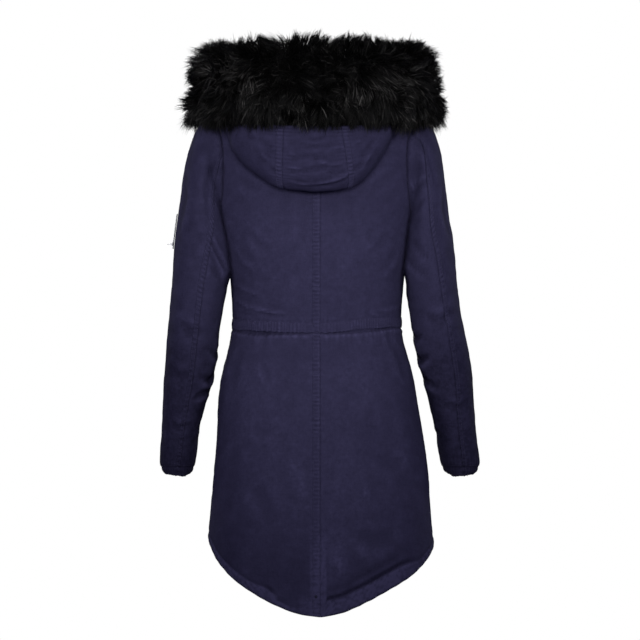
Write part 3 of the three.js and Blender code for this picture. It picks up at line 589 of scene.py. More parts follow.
def sleeve_point(hand, t, phi):
    """A point of the sleeve's smooth outside, which leaves the armhole at t = 0."""
    t = np.asarray(t, float)
    step = 0.05
    start = body_point(*armhole_place(hand, phi))
    first = sleeve_ring(hand, np.ones_like(t), phi)
    leaving = (sleeve_ring(hand, np.ones_like(t) + step, phi) - first) / step
    u = np.clip(t, 0, 1)[..., None]
    shoulder = (
        start * (1 - u) ** 2 * (1 + 2 * u)
        + first * u * u * (3 - 2 * u)
        + (first - start) * u * (1 - u) ** 2
        - leaving * u * u * (1 - u)
    )
    return np.where((t < 1)[..., None], shoulder, sleeve_ring(hand, np.maximum(t, 1), phi))


def sleeve_normal(hand, t, phi):
    t = np.asarray(t, float)
    late = np.clip(t, 1.05, SLEEVE_END - 0.03)
    out_x, in_x, out_z, in_z = sleeve_ends(hand, late)
    middle = xyz((out_x + in_x) / 2, SLEEVE["back"](late), (out_z + in_z) / 2)
    n = normal_of(lambda a, b: sleeve_ring(hand, b, a), phi, late, 8e-3, 0.02)
    n = turned(n, sleeve_ring(hand, late, phi) - middle)
    # Up to the first ring the sleeve turns from the way the body faces to its own.
    return unit(mix(body_normal(*armhole_place(hand, phi)), n, ramp(0, 1, t)[..., None]))


# Folds of each sleeve, unrolled: degrees round from the outside by the back, and height.
SLEEVE_FOLDS = {
    "left": [
        (6.0, -1.0, 96, -122, 86, -170, 98, -236), (7.0, 0.7, 112, -130, 120, -175, 118, -215),
        (4.2, -1.7, 98, -262, 118, -296, 142, -330), (4.2, -1.5, 100, -288, 120, -322, 138, -352),
        (4.0, -1.1, 106, -316, 126, -344), (6.0, -3.0, 186, -508, 152, -528, 118, -520),
        (5.5, -2.5, 184, -546, 150, -546, 108, -560), (6.0, -1.6, 190, -470, 158, -482, 128, -470),
        (8.0, -1.1, 60, -420, 84, -440, 112, -436), (8.0, -1.0, 40, -500, 66, -520, 96, -512),
        (6.0, -1.2, 60, -600, 84, -612, 120, -604), (5.0, -1.6, 130, -640, 160, -628, 186, -634),
        (9.0, -1.2, 20, -150, 34, -200, 30, -260), (6.0, -2.0, 210, -290, 236, -310, 262, -300),
        (6.0, -1.5, 200, -330, 228, -346, 250, -336), (6.0, -2.4, 190, -560, 226, -548, 262, -556),
        (6.0, -2.2, 196, -520, 236, -508, 270, -520), (6.0, -1.6, 214, -470, 244, -476, 276, -466),
        (6.0, -1.2, 268, -600, 292, -612, 318, -602), (8.0, -1.1, 262, -160, 272, -210, 258, -250),
        (8.0, -1.0, 300, -440, 326, -452, 350, -446),
    ],
    "right": [
        (3.4, 1.3, 154, -206, 112, -180, 70, -152), (5.0, -0.8, 62, -96, 66, -130, 60, -176),
        (5.0, 0.5, 84, -104, 96, -128, 104, -160), (6.0, -0.6, 140, -236, 112, -212, 84, -196),
        (5.0, -0.8, 138, -272, 106, -294, 84, -312), (5.0, -0.7, 148, -306, 122, -326, 96, -340),
        (6.0, -2.9, 186, -478, 152, -492, 118, -482), (5.5, -2.5, 184, -522, 150, -528, 112, -542),
        (6.0, -1.7, 188, -440, 154, -452, 126, -444), (8.0, -1.1, 52, -400, 80, -416, 110, -410),
        (7.0, -1.2, 46, -560, 74, -576, 104, -568), (5.0, -1.6, 130, -626, 158, -618, 188, -624),
        (9.0, -1.2, 24, -170, 36, -220, 26, -270), (6.0, -2.0, 206, -284, 232, -306, 260, -298),
        (6.0, -2.3, 196, -536, 232, -524, 268, -534), (6.0, -2.1, 198, -494, 234, -484, 266, -496),
        (6.0, -1.5, 212, -440, 246, -448, 280, -438), (6.0, -1.2, 262, -586, 290, -600, 316, -590),
        (8.0, -1.1, 258, -150, 270, -206, 262, -246), (8.0, -1.0, 302, -420, 330, -434, 352, -428),
    ],
}

BACK_SEAM = {
    "left": track([
        (0, 76), (0.5, 95), (1, 108), (3, 115), (4, 114), (6, 104), (8, 99), (10, 99), (12, 99),
        (17, 97),
    ]),
    "right": track([
        (0, 55), (1, 60), (3, 82), (5, 82), (7, 74), (9, 70), (11, 75), (13, 84), (17, 86),
    ]),
}
FRONT_SEAM = 235.0
ROUND_SLEEVE = 0.95  # millimetres round the sleeve for each degree
SLEEVE_RADIUS, SLEEVE_GIRTH = 54, 330
OUTER_COLUMNS, UNDER_COLUMNS = 45, 29


def sleeve_gathers(hand, z, uneven=1.4):
    """The puckers down a sleeve's seams."""
    return puckers(z, 8.2, SLEEVE_SEED[hand] + 4, uneven)


def sleeve_relief(hand, p, t, phi):
    """How far the cloth of a sleeve stands out of the smooth form, in millimetres."""
    z = p[..., 2]
    degrees = np.degrees(phi) % 360
    seed = SLEEVE_SEED[hand]
    relief = 1.2 * noise(p * (1, 1, 0.6), 52, seed) + 0.7 * noise(p, 24, seed + 1)
    relief += 0.42 * noise(p * (1, 1, 1.3), 13, seed + 2) + 0.2 * noise(p, 7.5, seed + 3)
    # The second time, the folds are felt across the place where a turn ends.
    for whole_turn in (0, 360 * np.sign(degrees - 180)):
        round_mm = (degrees - whole_turn) * ROUND_SLEEVE
        relief += SLEEVE_CREASING * creases(SLEEVE_FOLDS[hand], round_mm, z, ROUND_SLEEVE)
    # The sleeve lies against the body below the armhole.
    beside = (1 - ramp(-322, -360, z)) * ramp(0, 0.9, t)
    relief += 4.4 * bump(degrees, 180, 30) * ramp(-236, -252, z) * beside
    relief += 5.0 * bump(degrees, 148, 24) * ramp(-120, -200, z) * beside
    # Both long seams pucker, and the cuff is gathered into its edge.
    spread_out = 10 * (1 + 0.7 * noise_line(z, 7, seed + 5))
    for seam, strength in ((BACK_SEAM[hand](t), 1.0), (FRONT_SEAM, 0.6)):
        away = (degrees - seam) * ROUND_SLEEVE
        gathers = 0.8 * sleeve_gathers(hand, z) * bump(away, -5, spread_out)
        relief += strength * (gathers - 0.4 * bump(away, 0.8, 1.5))
    relief += 1.3 * ramp(-640, -692, z) * puckers(degrees * 0.8, 9.5, seed + 6)
    relief -= 1.2 * bump(z, -683, 2.2)
    # The head of the sleeve is eased into the armhole.
    from_armhole = np.clip(t, 0, None)
    relief += 0.35 * np.exp(-from_armhole * 2.2) * puckers(degrees * 1.6, 11, seed + 8)
    relief -= 4.0 * np.exp(-from_armhole * 8)
    # The cloth is flat round the zip on the left upper arm.
    if hand == "left":
        calm = bump(z, -258, 46) * bump((degrees + 180) % 360 - 180, 0, 12)
        relief = mix(relief, -0.2, np.clip(1.6 * calm, 0, 1))
    return relief


def on_sleeve(hand, t, phi):
    """Points and normals of the finished outside of a sleeve."""
    p, n = sleeve_point(hand, t, phi), sleeve_normal(hand, t, phi)
    return p + n * sleeve_relief(hand, p, t, phi)[..., None], n


# ---------- fur and hood ----------

FUR_POWER = 3
FUR = tracks(FUR_STATIONS, "x y z high deep lean rest fall")


def fur_middle(place):
    return xyz(FUR["x"](place), FUR["y"](place), FUR["z"](place))


def fur_outward(place):
    """The level way from the neck out through the fur."""
    way = fur_middle(np.minimum(place + 0.01, 1)) - fur_middle(np.maximum(place - 0.01, 0))
    way[..., 2] = 0
    way = unit(way)
    return xyz(way[..., 1], -way[..., 0], 0 * way[..., 0])


def fur_point(place, angle, out=0.0):
    """A point of the fur's outside, by its place along the fur and its angle round the section."""
    middle, outward = fur_middle(place), fur_outward(place)
    lean = np.radians(FUR["lean"](place))[..., None]
    top = xyz(0, 0, 1)
    up = top * np.cos(lean) - outward * np.sin(lean)
    across = outward * np.cos(lean) + top * np.sin(lean)
    deep, high = FUR["deep"](place)[..., None], FUR["high"](place)[..., None]
    s = power(np.sin(angle), 2 / FUR_POWER)[..., None]
    c = power(np.cos(angle), 2 / FUR_POWER)[..., None]
    point = middle + across * deep * s - up * high * c
    reach = ((point - middle) * outward).sum(-1)
    point[..., 2] = np.maximum(point[..., 2], FUR["rest"](place) - FUR["fall"](place) * reach)
    return point + unit(point - middle) * out


HOOD = tracks(HOOD_FOLDS, "neck turn fold thick fur meets")
HOOD_ABOVE_NECK, HOOD_STAND = 1.0, 8.0


def hood_path(place):
    """The ten points that the hood's section runs through, from the neck seam to the fur."""
    neck_turn, turn = np.radians(HOOD["neck"](place)), np.radians(HOOD["turn"](place))
    fold, thick = HOOD["fold"](place), HOOD["thick"](place)[..., None]
    neck = body_point(neck_turn, 0 * place)

    def on_jacket(share):
        a, h = mix(neck_turn, turn, share), fold * share
        return body_point(a, h) + body_normal(a, h) * HOOD_STAND

    away = body_normal(turn, fold)
    fold_in = on_jacket(1)
    bottom = fold_in + away * thick / 2
    bottom[..., 2] -= thick[..., 0] * 0.38
    fold_out = fold_in + away * thick
    edge = fur_point(HOOD["fur"](place), np.radians(HOOD["meets"](place)), 2)
    return np.stack([
        neck + (0, 0, HOOD_ABOVE_NECK), neck + unit(neck * (1, 1, 0)) * 2 + (0, 0, 8),
        on_jacket(0.22), on_jacket(0.48), on_jacket(0.74), fold_in,
        bottom, fold_out, (fold_out + edge) / 2 + away * thick * 0.25, edge,
    ], axis=-2)


def along_curve(path, down):
    """A centripetal curve through the points of each path, at a share of its pieces."""
    pieces = path.shape[-2] - 1
    place = down * pieces
    i = np.clip(np.floor(place).astype(int), 0, pieces - 1)
    w = (place - i)[..., None]
    before = 2 * path[..., :1, :] - path[..., 1:2, :]
    after = 2 * path[..., -1:, :] - path[..., -2:-1, :]
    padded = np.concatenate([before, path, after], axis=-2)
    p0, p1, p2, p3 = (
        np.take_along_axis(padded, (i + k)[..., None, None], axis=-2)[..., 0, :] for k in range(4)
    )
    d0, d1, d2 = (
        np.maximum(np.linalg.norm(b - a, axis=-1, keepdims=True), 1e-6) ** 0.5
        for a, b in ((p0, p1), (p1, p2), (p2, p3))
    )
    t1 = ((p1 - p0) / d0 - (p2 - p0) / (d0 + d1) + (p2 - p1) / d1) * d1
    t2 = ((p2 - p1) / d1 - (p3 - p1) / (d1 + d2) + (p3 - p2) / d2) * d1
    bend, turn = -3 * p1 + 3 * p2 - 2 * t1 - t2, 2 * p1 - 2 * p2 + t1 + t2
    return p1 + t1 * w + bend * w**2 + turn * w**3


def hood_point(place, down):
    return along_curve(hood_path(place), down)


def hood_normal(place, down):
    a, b = np.clip(place, 0.003, 0.997), np.clip(down, 0.003, 0.997)
    return -normal_of(hood_point, a, b, 0.002, 0.002)


# Folds of the hood's outside, seen from behind.
HOOD_FOLD_LINES = [
    (3.2, 1.7, 42, -174, 6, -175, -34, -166, -58, -152), (3.0, -1.0, 60, -164, 30, -172, -8, -178),
    (5.0, -0.8, 52, -128, 20, -124, -14, -128), (4.5, -0.9, 44, -144, 10, -148, -20, -142),
    (6.0, -0.6, 30, -108, 0, -104, -26, -110), (6.0, -1.0, 84, -120, 96, -104, 110, -92),
    (6.0, -1.0, -72, -128, -86, -108, -98, -90), (4.0, -1.1, -62, -150, -76, -136),
    (4.5, -1.0, 74, -156, 92, -142), (5.0, -0.8, 118, -96, 128, -84), (6.0, 0.6, 20, -86, -6, -82),
    (2.4, 1.1, 66, -142, 40, -147, 12, -140), (2.2, -0.9, 58, -156, 34, -151, 16, -156),
    (2.4, 1.0, 8, -134, -18, -140, -44, -136), (2.3, -1.0, -6, -152, -28, -157, -50, -150),
    (2.6, 0.8, 36, -96, 10, -102, -8, -98), (2.4, 0.9, -14, -112, -38, -108, -50, -114),
    (2.6, 1.0, 92, -134, 108, -116), (2.6, 0.9, -78, -140, -90, -120), (2.2, 0.9, 60, -118, 44, -122),
    (2.2, 0.8, 74, -110, 92, -112), (2.4, 0.8, -60, -100, -76, -96),
]
HOOD_SEAMS = (12 / 26, 15 / 26)
HOOD_ROUND, HOOD_DOWN = 830, 470  # millimetres from one end of the hood to the other, and down it


def hood_gathers(down):
    return puckers(down * HOOD_DOWN, 7.4, 76, 1.3)


def hood_relief(p, place, down):
    """How far the cloth of the hood stands out of the smooth form, in millimetres."""
    folds = creases(HOOD_FOLD_LINES, p[..., 0], p[..., 2], widths=100)
    relief = HOOD_CREASING * folds * ramp(0.68, 0.76, down)
    relief += 1.0 * noise(p, 46, 71) + 0.6 * noise(p, 21, 72)
    relief += 0.42 * noise(p, 11, 73) + 0.24 * noise(p, 7, 74)
    long = 10 * (1 + 0.7 * noise_line(down * HOOD_DOWN, 6, 77))
    for seam in HOOD_SEAMS:
        away = (place - seam) * HOOD_ROUND
        relief += 0.8 * hood_gathers(down) * bump(np.abs(away), 7, long)
        relief -= 0.5 * bump(away, 0, 1.8)
    return relief * ramp(0, 0.12, down)


def on_hood(place, down):
    """Points and normals of the finished outside of the hood."""
    p, n = hood_point(place, down), hood_normal(place, down)
    return p + n * hood_relief(p, place, down)[..., None], n


# ---------- meshes ----------


def add_mesh(name, points, faces, material, floats=None, smooth=True):
    """An object from points in millimetres and arrays of triangles or quads."""
    mesh = bpy.data.meshes.new(name)
    points = np.asarray(points, float).reshape(-1, 3)
    mesh.vertices.add(len(points))
    mesh.vertices.foreach_set("co", (points * MM).astype(np.float32).ravel())
    faces = [np.asarray(f, np.int32) for f in faces if len(f)]
    loops = np.concatenate([f.ravel() for f in faces])
    sizes = np.concatenate([np.full(len(f), f.shape[1], np.int32) for f in faces])
    starts = np.concatenate([[0], np.cumsum(sizes)[:-1]]).astype(np.int32)
    mesh.loops.add(len(loops))
    mesh.loops.foreach_set("vertex_index", loops)
    mesh.polygons.add(len(sizes))
    mesh.polygons.foreach_set("loop_start", starts)
    mesh.update(calc_edges=True)
    mesh.validate()
    mesh.polygons.foreach_set("use_smooth", np.full(len(mesh.polygons), smooth))
    for key, values in (floats or {}).items():
        mesh.attributes.new(key, "FLOAT", "POINT").data.foreach_set(
            "value", np.asarray(values, np.float32).ravel()
        )
    mesh.materials.append(material)
    obj = bpy.data.objects.new(name, mesh)
    bpy.context.scene.collection.objects.link(obj)
    return obj


def sheet_quads(rows, columns, around=False, along=False):
    """Quads between the points of a grid, which may close around its rows and along its length."""
    r = np.arange(rows if along else rows - 1)[:, None]
    c = np.arange(columns if around else columns - 1)[None, :]
    here, ahead = r * columns, (r + 1) % rows * columns
    beside = (c + 1) % columns
    return np.stack([here + c, here + beside, ahead + beside, ahead + c], axis=-1).reshape(-1, 4)


def looks_inwards(points, quads, outward):
    """Whether the quads face against the ways outward that are given for them."""
    a, b, c, d = (points[quads[:, k]] for k in range(4))
    return (np.cross(c - a, d - b) * outward).sum() < 0


def shell(outer, inner, round_edge):
    """Points and quads of a closed wall between two grids, with an edge that may be rounded."""
    rows, columns = outer.shape[:2]
    count = rows * columns
    a, b = outer.reshape(-1, 3), inner.reshape(-1, 3)
    middle, thick = (a + b) / 2, np.linalg.norm(a - b, axis=-1, keepdims=True)
    index = np.arange(count).reshape(rows, columns)
    face = sheet_quads(rows, columns)
    points, quads = [a, b], [face, face[:, ::-1] + count]
    total = 2 * count
    for line, next_in in (
        (index[0], index[1]),
        (index[-1, ::-1], index[-2, ::-1]),
        (index[::-1, 0], index[::-1, 1]),
        (index[:, -1], index[:, -2]),
    ):
        way = unit(middle[line] - middle[next_in])
        points.append(middle[line] + way * thick[line] * round_edge)
        rim = np.arange(len(line)) + total
        total += len(line)
        for low, high in ((line, rim), (rim, line + count)):
            quads.append(np.stack([low[1:], low[:-1], high[:-1], high[1:]], axis=-1))
    points, quads = np.concatenate(points), np.concatenate(quads)
    if looks_inwards(points, face, (a - b)[face[:, 0]]):
        quads = quads[:, ::-1]
    return points, quads


def sheet_piece(name, outer, inner, material, wear_and_painted_shade, round_edge=0.35):
    """A closed wall of cloth with its wear and painted shade, which is even along its rims."""
    points, quads = shell(outer, inner, round_edge)
    rims = np.full(len(points) - 2 * wear_and_painted_shade.size, float(wear_and_painted_shade.mean()))
    tone_shift = np.concatenate([wear_and_painted_shade.ravel(), wear_and_painted_shade.ravel(), rims])
    return add_mesh(name, points, [quads], material, {"wear_and_painted_shade": tone_shift})


def steps(*stops):
    """Places from one stop to the next, with a step for each stretch: start, step, stop, ..."""
    values = [np.array([stops[0]], float)]
    here = stops[0]
    for step, stop in zip(stops[1::2], stops[2::2]):
        count = max(1, int(round(abs(stop - here) / step)))
        values.append(np.linspace(here, stop, count + 1)[1:])
        here = stop
    return np.concatenate(values)


# ---------- materials ----------


def new_material(name):
    """A material, its nodes, its shader and the places on its object."""
    material = bpy.data.materials.new(name)
    material.use_nodes = True
    tree = material.node_tree
    where = node(tree, "TexCoord").outputs["Object"]
    return material, tree, tree.nodes["Principled BSDF"], where


def feed(tree, value, socket):
    """Gives a socket its value: a link if it comes from another socket."""
    if isinstance(value, bpy.types.NodeSocket):
        tree.links.new(value, socket)
    elif value is not None:
        socket.default_value = value


def node(tree, kind, inputs=None, **settings):
    """A new node with its inputs fed and its settings made."""
    made = tree.nodes.new("ShaderNode" + kind)
    for key, value in settings.items():
        setattr(made, key, value)
    for key, value in (inputs or {}).items():
        feed(tree, value, made.inputs[key])
    return made


def maths(tree, operation, a, b=None, c=None, clamp=False):
    inputs = {0: a, 1: b, 2: c}
    return node(tree, "Math", inputs, operation=operation, use_clamp=clamp).outputs[0]


def mapped_noise(tree, where, scale, stretch=(1, 1, 1), detail=2.0, roughness=0.5):
    mapped = node(tree, "Mapping", {"Vector": where, "Scale": stretch}).outputs[0]
    inputs = {"Vector": mapped, "Scale": scale, "Detail": detail, "Roughness": roughness}
    return node(tree, "TexNoise", inputs).outputs["Fac"]


def mixed_colour(tree, factor, a, b):
    inputs = {0: factor, 6: (*a, 1), 7: (*b, 1)}
    return node(tree, "Mix", inputs, data_type="RGBA", clamp_factor=False).outputs[2]


def bumped(tree, height, strength, distance, **more):
    inputs = {"Height": height, "Strength": strength, "Distance": distance}
    return node(tree, "Bump", inputs, **more)


def cloth_material(name, colour, light, contrast=1.0):
    """Washed cotton: a plain weave with slubs, uneven dye and paler, rubbed ridges, and the wear and
    painted shade and light that each point brings in its attribute.
    """
    material, tree, shader, where = new_material(name)
    wear_and_painted_shade = node(tree, "Attribute", attribute_name="wear_and_painted_shade").outputs["Fac"]
    broad = mapped_noise(tree, where, 9, detail=3)
    patch = mapped_noise(tree, where, 55, detail=3, roughness=0.6)
    weft = mapped_noise(tree, where, 420, (0.16, 0.16, 1.25), detail=2)
    warp = mapped_noise(tree, where, 420, (1.25, 1.25, 0.16), detail=2)
    grain = mapped_noise(tree, where, 900, detail=1)
    slubs = maths(tree, "ADD", weft, warp)
    # The cloth crinkles finely, and its small ridges are rubbed paler.
    crinkle = mapped_noise(tree, where, 150, detail=4, roughness=0.62)
    ridge = maths(tree, "ABSOLUTE", maths(tree, "SUBTRACT", crinkle, 0.5))
    ridge = maths(tree, "MINIMUM", ridge, 0.1)
    tone = 0.5 - 0.28 * contrast
    for part, share in ((slubs, 0.28), (patch, 0.2), (broad, 0.24), (grain, 0.16), (ridge, -1.3)):
        tone = maths(tree, "MULTIPLY_ADD", part, share * contrast, tone)
    tone = maths(tree, "SUBTRACT", tone, 0.21 * contrast)
    speck = maths(tree, "MULTIPLY_ADD", mapped_noise(tree, where, 135, detail=2), 1.9, -0.5)
    tone_shift = maths(tree, "MULTIPLY", wear_and_painted_shade, maths(tree, "MULTIPLY_ADD", patch, 0.7, speck))
    tone = maths(tree, "MAXIMUM", maths(tree, "ADD", tone, tone_shift), 0)
    tone = maths(tree, "MINIMUM", tone, BLEACHED)
    dark = [c * 0.66 for c in colour]
    feed(tree, mixed_colour(tree, tone, dark, light), shader.inputs["Base Color"])
    feed(tree, maths(tree, "MULTIPLY_ADD", patch, 0.16, 0.78), shader.inputs["Roughness"])
    x, y, z = node(tree, "SeparateXYZ", {"Vector": where}).outputs
    across = maths(tree, "SINE", maths(tree, "MULTIPLY", z, THREADS))
    upright = maths(tree, "SINE", maths(tree, "MULTIPLY", maths(tree, "ADD", x, y), THREADS))
    weave = maths(tree, "MULTIPLY", across, upright)
    height = maths(tree, "MULTIPLY_ADD", weave, 0.25, maths(tree, "MULTIPLY", slubs, 0.9))
    height = maths(tree, "MULTIPLY_ADD", grain, 0.5, height)
    creased = bumped(tree, ridge, 0.7, 0.0016, invert=True)
    feed(tree, bumped(tree, height, 0.5, 0.0006).outputs[0], creased.inputs["Normal"])
    feed(tree, creased.outputs[0], shader.inputs["Normal"])
    shader.inputs["Specular IOR Level"].default_value = 0.08
    return material


def fur_material(name, shine):
    """Black pile: each strand brings its own tone, and streaks run through it."""
    material, tree, shader, where = new_material(name)
    tone = node(tree, "Attribute", attribute_name="tone").outputs["Fac"]
    streak = mapped_noise(tree, where, 160, detail=2)
    factor = maths(tree, "MULTIPLY", tone, maths(tree, "MULTIPLY_ADD", streak, 0.8, 0.6), clamp=True)
    feed(tree, mixed_colour(tree, factor, FUR_BLACK, FUR_PALE), shader.inputs["Base Color"])
    feed(tree, maths(tree, "MULTIPLY_ADD", streak, 0.2, 0.38), shader.inputs["Roughness"])
    shader.inputs["Specular IOR Level"].default_value = shine
    return material


def metal_material(name, colour, roughness):
    """Scuffed metal, tarnished in patches."""
    material, tree, shader, where = new_material(name)
    scuff = mapped_noise(tree, where, 700, (1, 1, 0.3), detail=3)
    tarnish = mapped_noise(tree, where, 140, detail=2)
    dark = [c * 0.55 for c in colour]
    feed(tree, mixed_colour(tree, tarnish, dark, colour), shader.inputs["Base Color"])
    rough = maths(tree, "MULTIPLY_ADD", scuff, 0.3, roughness - 0.12)
    feed(tree, rough, shader.inputs["Roughness"])
    feed(tree, bumped(tree, scuff, 0.25, 0.0002).outputs[0], shader.inputs["Normal"])
    shader.inputs["Metallic"].default_value = 1.0
    return material


BLEACHED = 1.7  # how far past the pale colour the most worn cloth goes
THREADS = 5200  # radians of the weave's waves for each metre
FUR_BLACK, FUR_PALE = (0.0016, 0.0016, 0.0016), (0.120, 0.116, 0.110)

cotton = cloth_material("washed_cotton", (0.0262, 0.0236, 0.0570), (0.0420, 0.0384, 0.0860))
thread = cloth_material("thread", (0.034, 0.031, 0.068), (0.060, 0.056, 0.110), 0.6)
tape = cloth_material("zip_tape", (0.012, 0.011, 0.024), (0.022, 0.021, 0.042), 0.8)
fur_hair = fur_material("fur_strands", 0.09)
fur_base = fur_material("fur_base", 0.0)
gunmetal = metal_material("gunmetal", (0.32, 0.32, 0.34), 0.42)
steel = metal_material("bright_steel", (0.40, 0.40, 0.43), 0.38)
eyelet_metal = metal_material("dark_eyelet", (0.030, 0.029, 0.045), 0.5)

BODY = "parka"


def dress(piece, slot, *nodes):
    """Fixes a piece to the parka, in the place of the CAD's nodes if any are named."""
    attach(piece, BODY)
    if nodes:
        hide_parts(*nodes)
    return piece


# ---------- stitches ----------

stitches = []


def sew(points, normals, pitch=3.4, lift=0.22):
    """Adds stitches at an even pitch along a line of points: middles, ways, normals, lengths."""
    lengths = np.linalg.norm(np.diff(points, axis=0), axis=1)
    place = np.concatenate([[0], np.cumsum(lengths)])

    def along(at, values):
        return np.stack([np.interp(at, place, values[:, k]) for k in range(3)], axis=1)

    count = int(place[-1] / pitch)
    at = (np.arange(count) + 0.5) * pitch
    here, ahead, n = along(at, points), along(at + pitch * 0.3, points), unit(along(at, normals))
    stitches.append((here + n * lift, unit(ahead - here), n, np.full(count, pitch * 0.68)))


def bars(name, rings, material, slot, wear_and_painted_shade, smooth=True):
    """Small bars, all of one kind: each is a stack of rings of four points."""
    points = np.stack(rings, axis=1)
    count = len(rings)
    quads = [(0, 3, 2, 1), tuple(range(count - 4, count))]
    for r in range(0, count - 4, 4):
        quads += [(r + k, r + (k + 1) % 4, r + 4 + (k + 1) % 4, r + 4 + k) for k in range(4)]
    first = np.arange(len(points))[:, None, None] * count
    quads = (first + np.array(quads)).reshape(-1, 4)
    piece = add_mesh(name, points, [quads], material, {"wear_and_painted_shade": np.repeat(wear_and_painted_shade, count)}, smooth)
    return dress(piece, slot)


def stitch_bars(radius=0.36):
    """All the stitches, as small round-ended bars."""
    middles, ways, normals, lengths = (np.concatenate(parts) for parts in zip(*stitches))
    side = unit(np.cross(ways, normals))
    lift = unit(np.cross(side, ways))
    rings = []
    for along, size in ((-0.5, 0.4), (0.0, 1.1), (0.5, 0.4)):
        centre = middles + ways * (lengths * along)[:, None]
        for turn in range(4):
            a = math.pi * (turn + 0.5) / 2
            rings.append(centre + (side * math.cos(a) + lift * math.sin(a)) * radius * size)
    tone_shift = np.random.RandomState(5).uniform(0.1, 0.7, len(middles))
    return bars("stitches", rings, thread, "cloth", tone_shift)


def felled_seam(
    name, centre, points_at, half, cells, puff, wear_and_painted_shade, wave, rows, raised, first=0.0, lift=0.0, fade=0.0
):
    """A narrow sewn strip with a row of stitches inside each edge. points_at gives points from
    places along it and distances across it, where it starts at first and is two halves wide. It
    puckers by its wave, and its puff may fade towards its last edge."""
    v = np.linspace(-1, 1, cells + 1)
    outer, n = points_at(centre, first + half + v * half)
    across = np.abs(v)[None, :]
    profile = puff * (1 - across**6) * (1 - fade * ramp(0, 1, v)) + 0.12
    profile = profile + (wave + lift)[:, None] * (1 - across**4)
    inner = outer + n * (profile - 0.9)[..., None]
    outer = outer + n * profile[..., None]
    tone_shift = np.clip(wear_and_painted_shade + wave[:, None] * 1.9 * (1 - 0.5 * across), -0.5, 1.6)
    for away in (rows[0], 2 * half - rows[1]):
        p, n = points_at(centre, np.array([first + away]))
        sew(p[:, 0] + n[:, 0] * (raised + wave + lift)[:, None], n[:, 0])
    return dress(sheet_piece(name, outer, inner, cotton, tone_shift, 0.2), "cloth")


# ---------- the panels of the body ----------


def panel_angles(hand, half, height, shares, fixed):
    """Angles of a panel's rows: the columns next to the middle keep their distance from it."""
    outer = edge_angle(half, height)[:, None]
    inner = [inset_angle(hand, height, x)[:, None] for x in fixed]
    sideways = np.concatenate([*inner, mix(inner[-1], outer, shares[None, 1:])], axis=1)
    return SIGN[hand] * (sideways if half == "back" else math.pi - sideways)


def panel_grid(hand, half):
    """The grid of a panel: to the casing its rows are level, and below it they follow the hem."""
    back = half == "back"
    cell, fine, arm_rows = (4.2, 0.0042, 58) if back else (6.0, 0.0062, 44)
    upper = np.concatenate([
        steps(-0.5, cell, SHOULDER_TIP),
        ARMHOLE_MIDDLE + ARMHOLE_TALL * np.cos(math.pi * np.linspace(0, 1, arm_rows)[1:]),
        steps(UNDERARM, cell, -404, 2.2, CASING_BOTTOM)[1:],
    ])
    down = steps(0, fine, 0.055, cell / SKIRT_TALL, 0.93, fine, 1.0)[1:]
    fixed = steps(0.2, 1.7, 19) if back else steps(ZIP_EDGE, 2.2, 16)
    top = panel_angles(hand, half, upper, np.linspace(0, 1, 45 if back else 31), fixed)
    low = CASING_BOTTOM + (hem_height(top[-1]) - CASING_BOTTOM)[None, :] * down[:, None]
    angles = np.concatenate([top, np.repeat(top[-1:], len(down), axis=0)])
    return angles, np.concatenate([np.repeat(upper[:, None], top.shape[1], axis=1), low])


def panel_wear_and_shade(back, angles, sides, base, n):
    """How much paler or darker a panel is at its hem, its casing and the middle of the back: its wear
    and dye patches, with painted shade and painted highlights.
    """
    degrees, up, channel, (deep, left, flat), drawn = hem_state(angles, sides)
    in_channel = ramp(0, 4, channel - up) * (1 - flat)
    full = (0.75 * deep + 0.3 * left) * bump(up, 0.5 * channel, 0.34 * channel)
    wear_and_painted_shade = in_channel * (0.34 + 0.55 * drawn + full) - 0.6 * bump(up, 0, 1.8)
    # Painted shade above the hem's channel, wide where the channel is deep, and a painted highlight
    # along the channel's upper edge.
    shade = (0.12 + 0.5 * deep) * bump(up, channel + 3, 4) + 0.6 * deep * bump(up, channel + 10, 10)
    wear_and_painted_shade += ((0.3 + 0.3 * left) * bump(up, channel - 2.5, 2.2) - shade) * (1 - flat)
    # The channel's raised steps are painted paler as highlights and its sunk steps darker as shade.
    wear_and_painted_shade += 0.5 * hem_notches(degrees, up) + 0.5 * flat * ramp(26, 8, up)
    x, z = base[..., 0], base[..., 2]
    if back:
        tail = (ramp(-13, -7, x) - ramp(16, 21, x)) * ramp(-770, -880, z)
        ladder = 0.5 + 0.7 * back_ladder(sides)
        wear_and_painted_shade += 0.8 * tail + 0.16 * bump(x, 8, 9) * ladder
    below = CASING_BOTTOM + CASING_SAG(degrees) - z
    gathers = casing_gathers(degrees * GIRTH)
    wear_and_painted_shade += 0.3 * bump(below, 9, 5) * (0.5 + 0.5 * gathers) + dye_and_painted_shade(base, n) * (1 - in_channel)
    # A painted shadow under the casing, wider where the cloth hangs slack.
    slack = bump(degrees, 40, 20) + 0.5 * bump(degrees, -40, 19)
    uneven = 0.6 + 0.5 * casing_slack(degrees * GIRTH)
    return wear_and_painted_shade - (0.45 + 0.4 * slack) * bump(below, 3 + 3 * slack, 2.6 + 2.6 * slack) * uneven


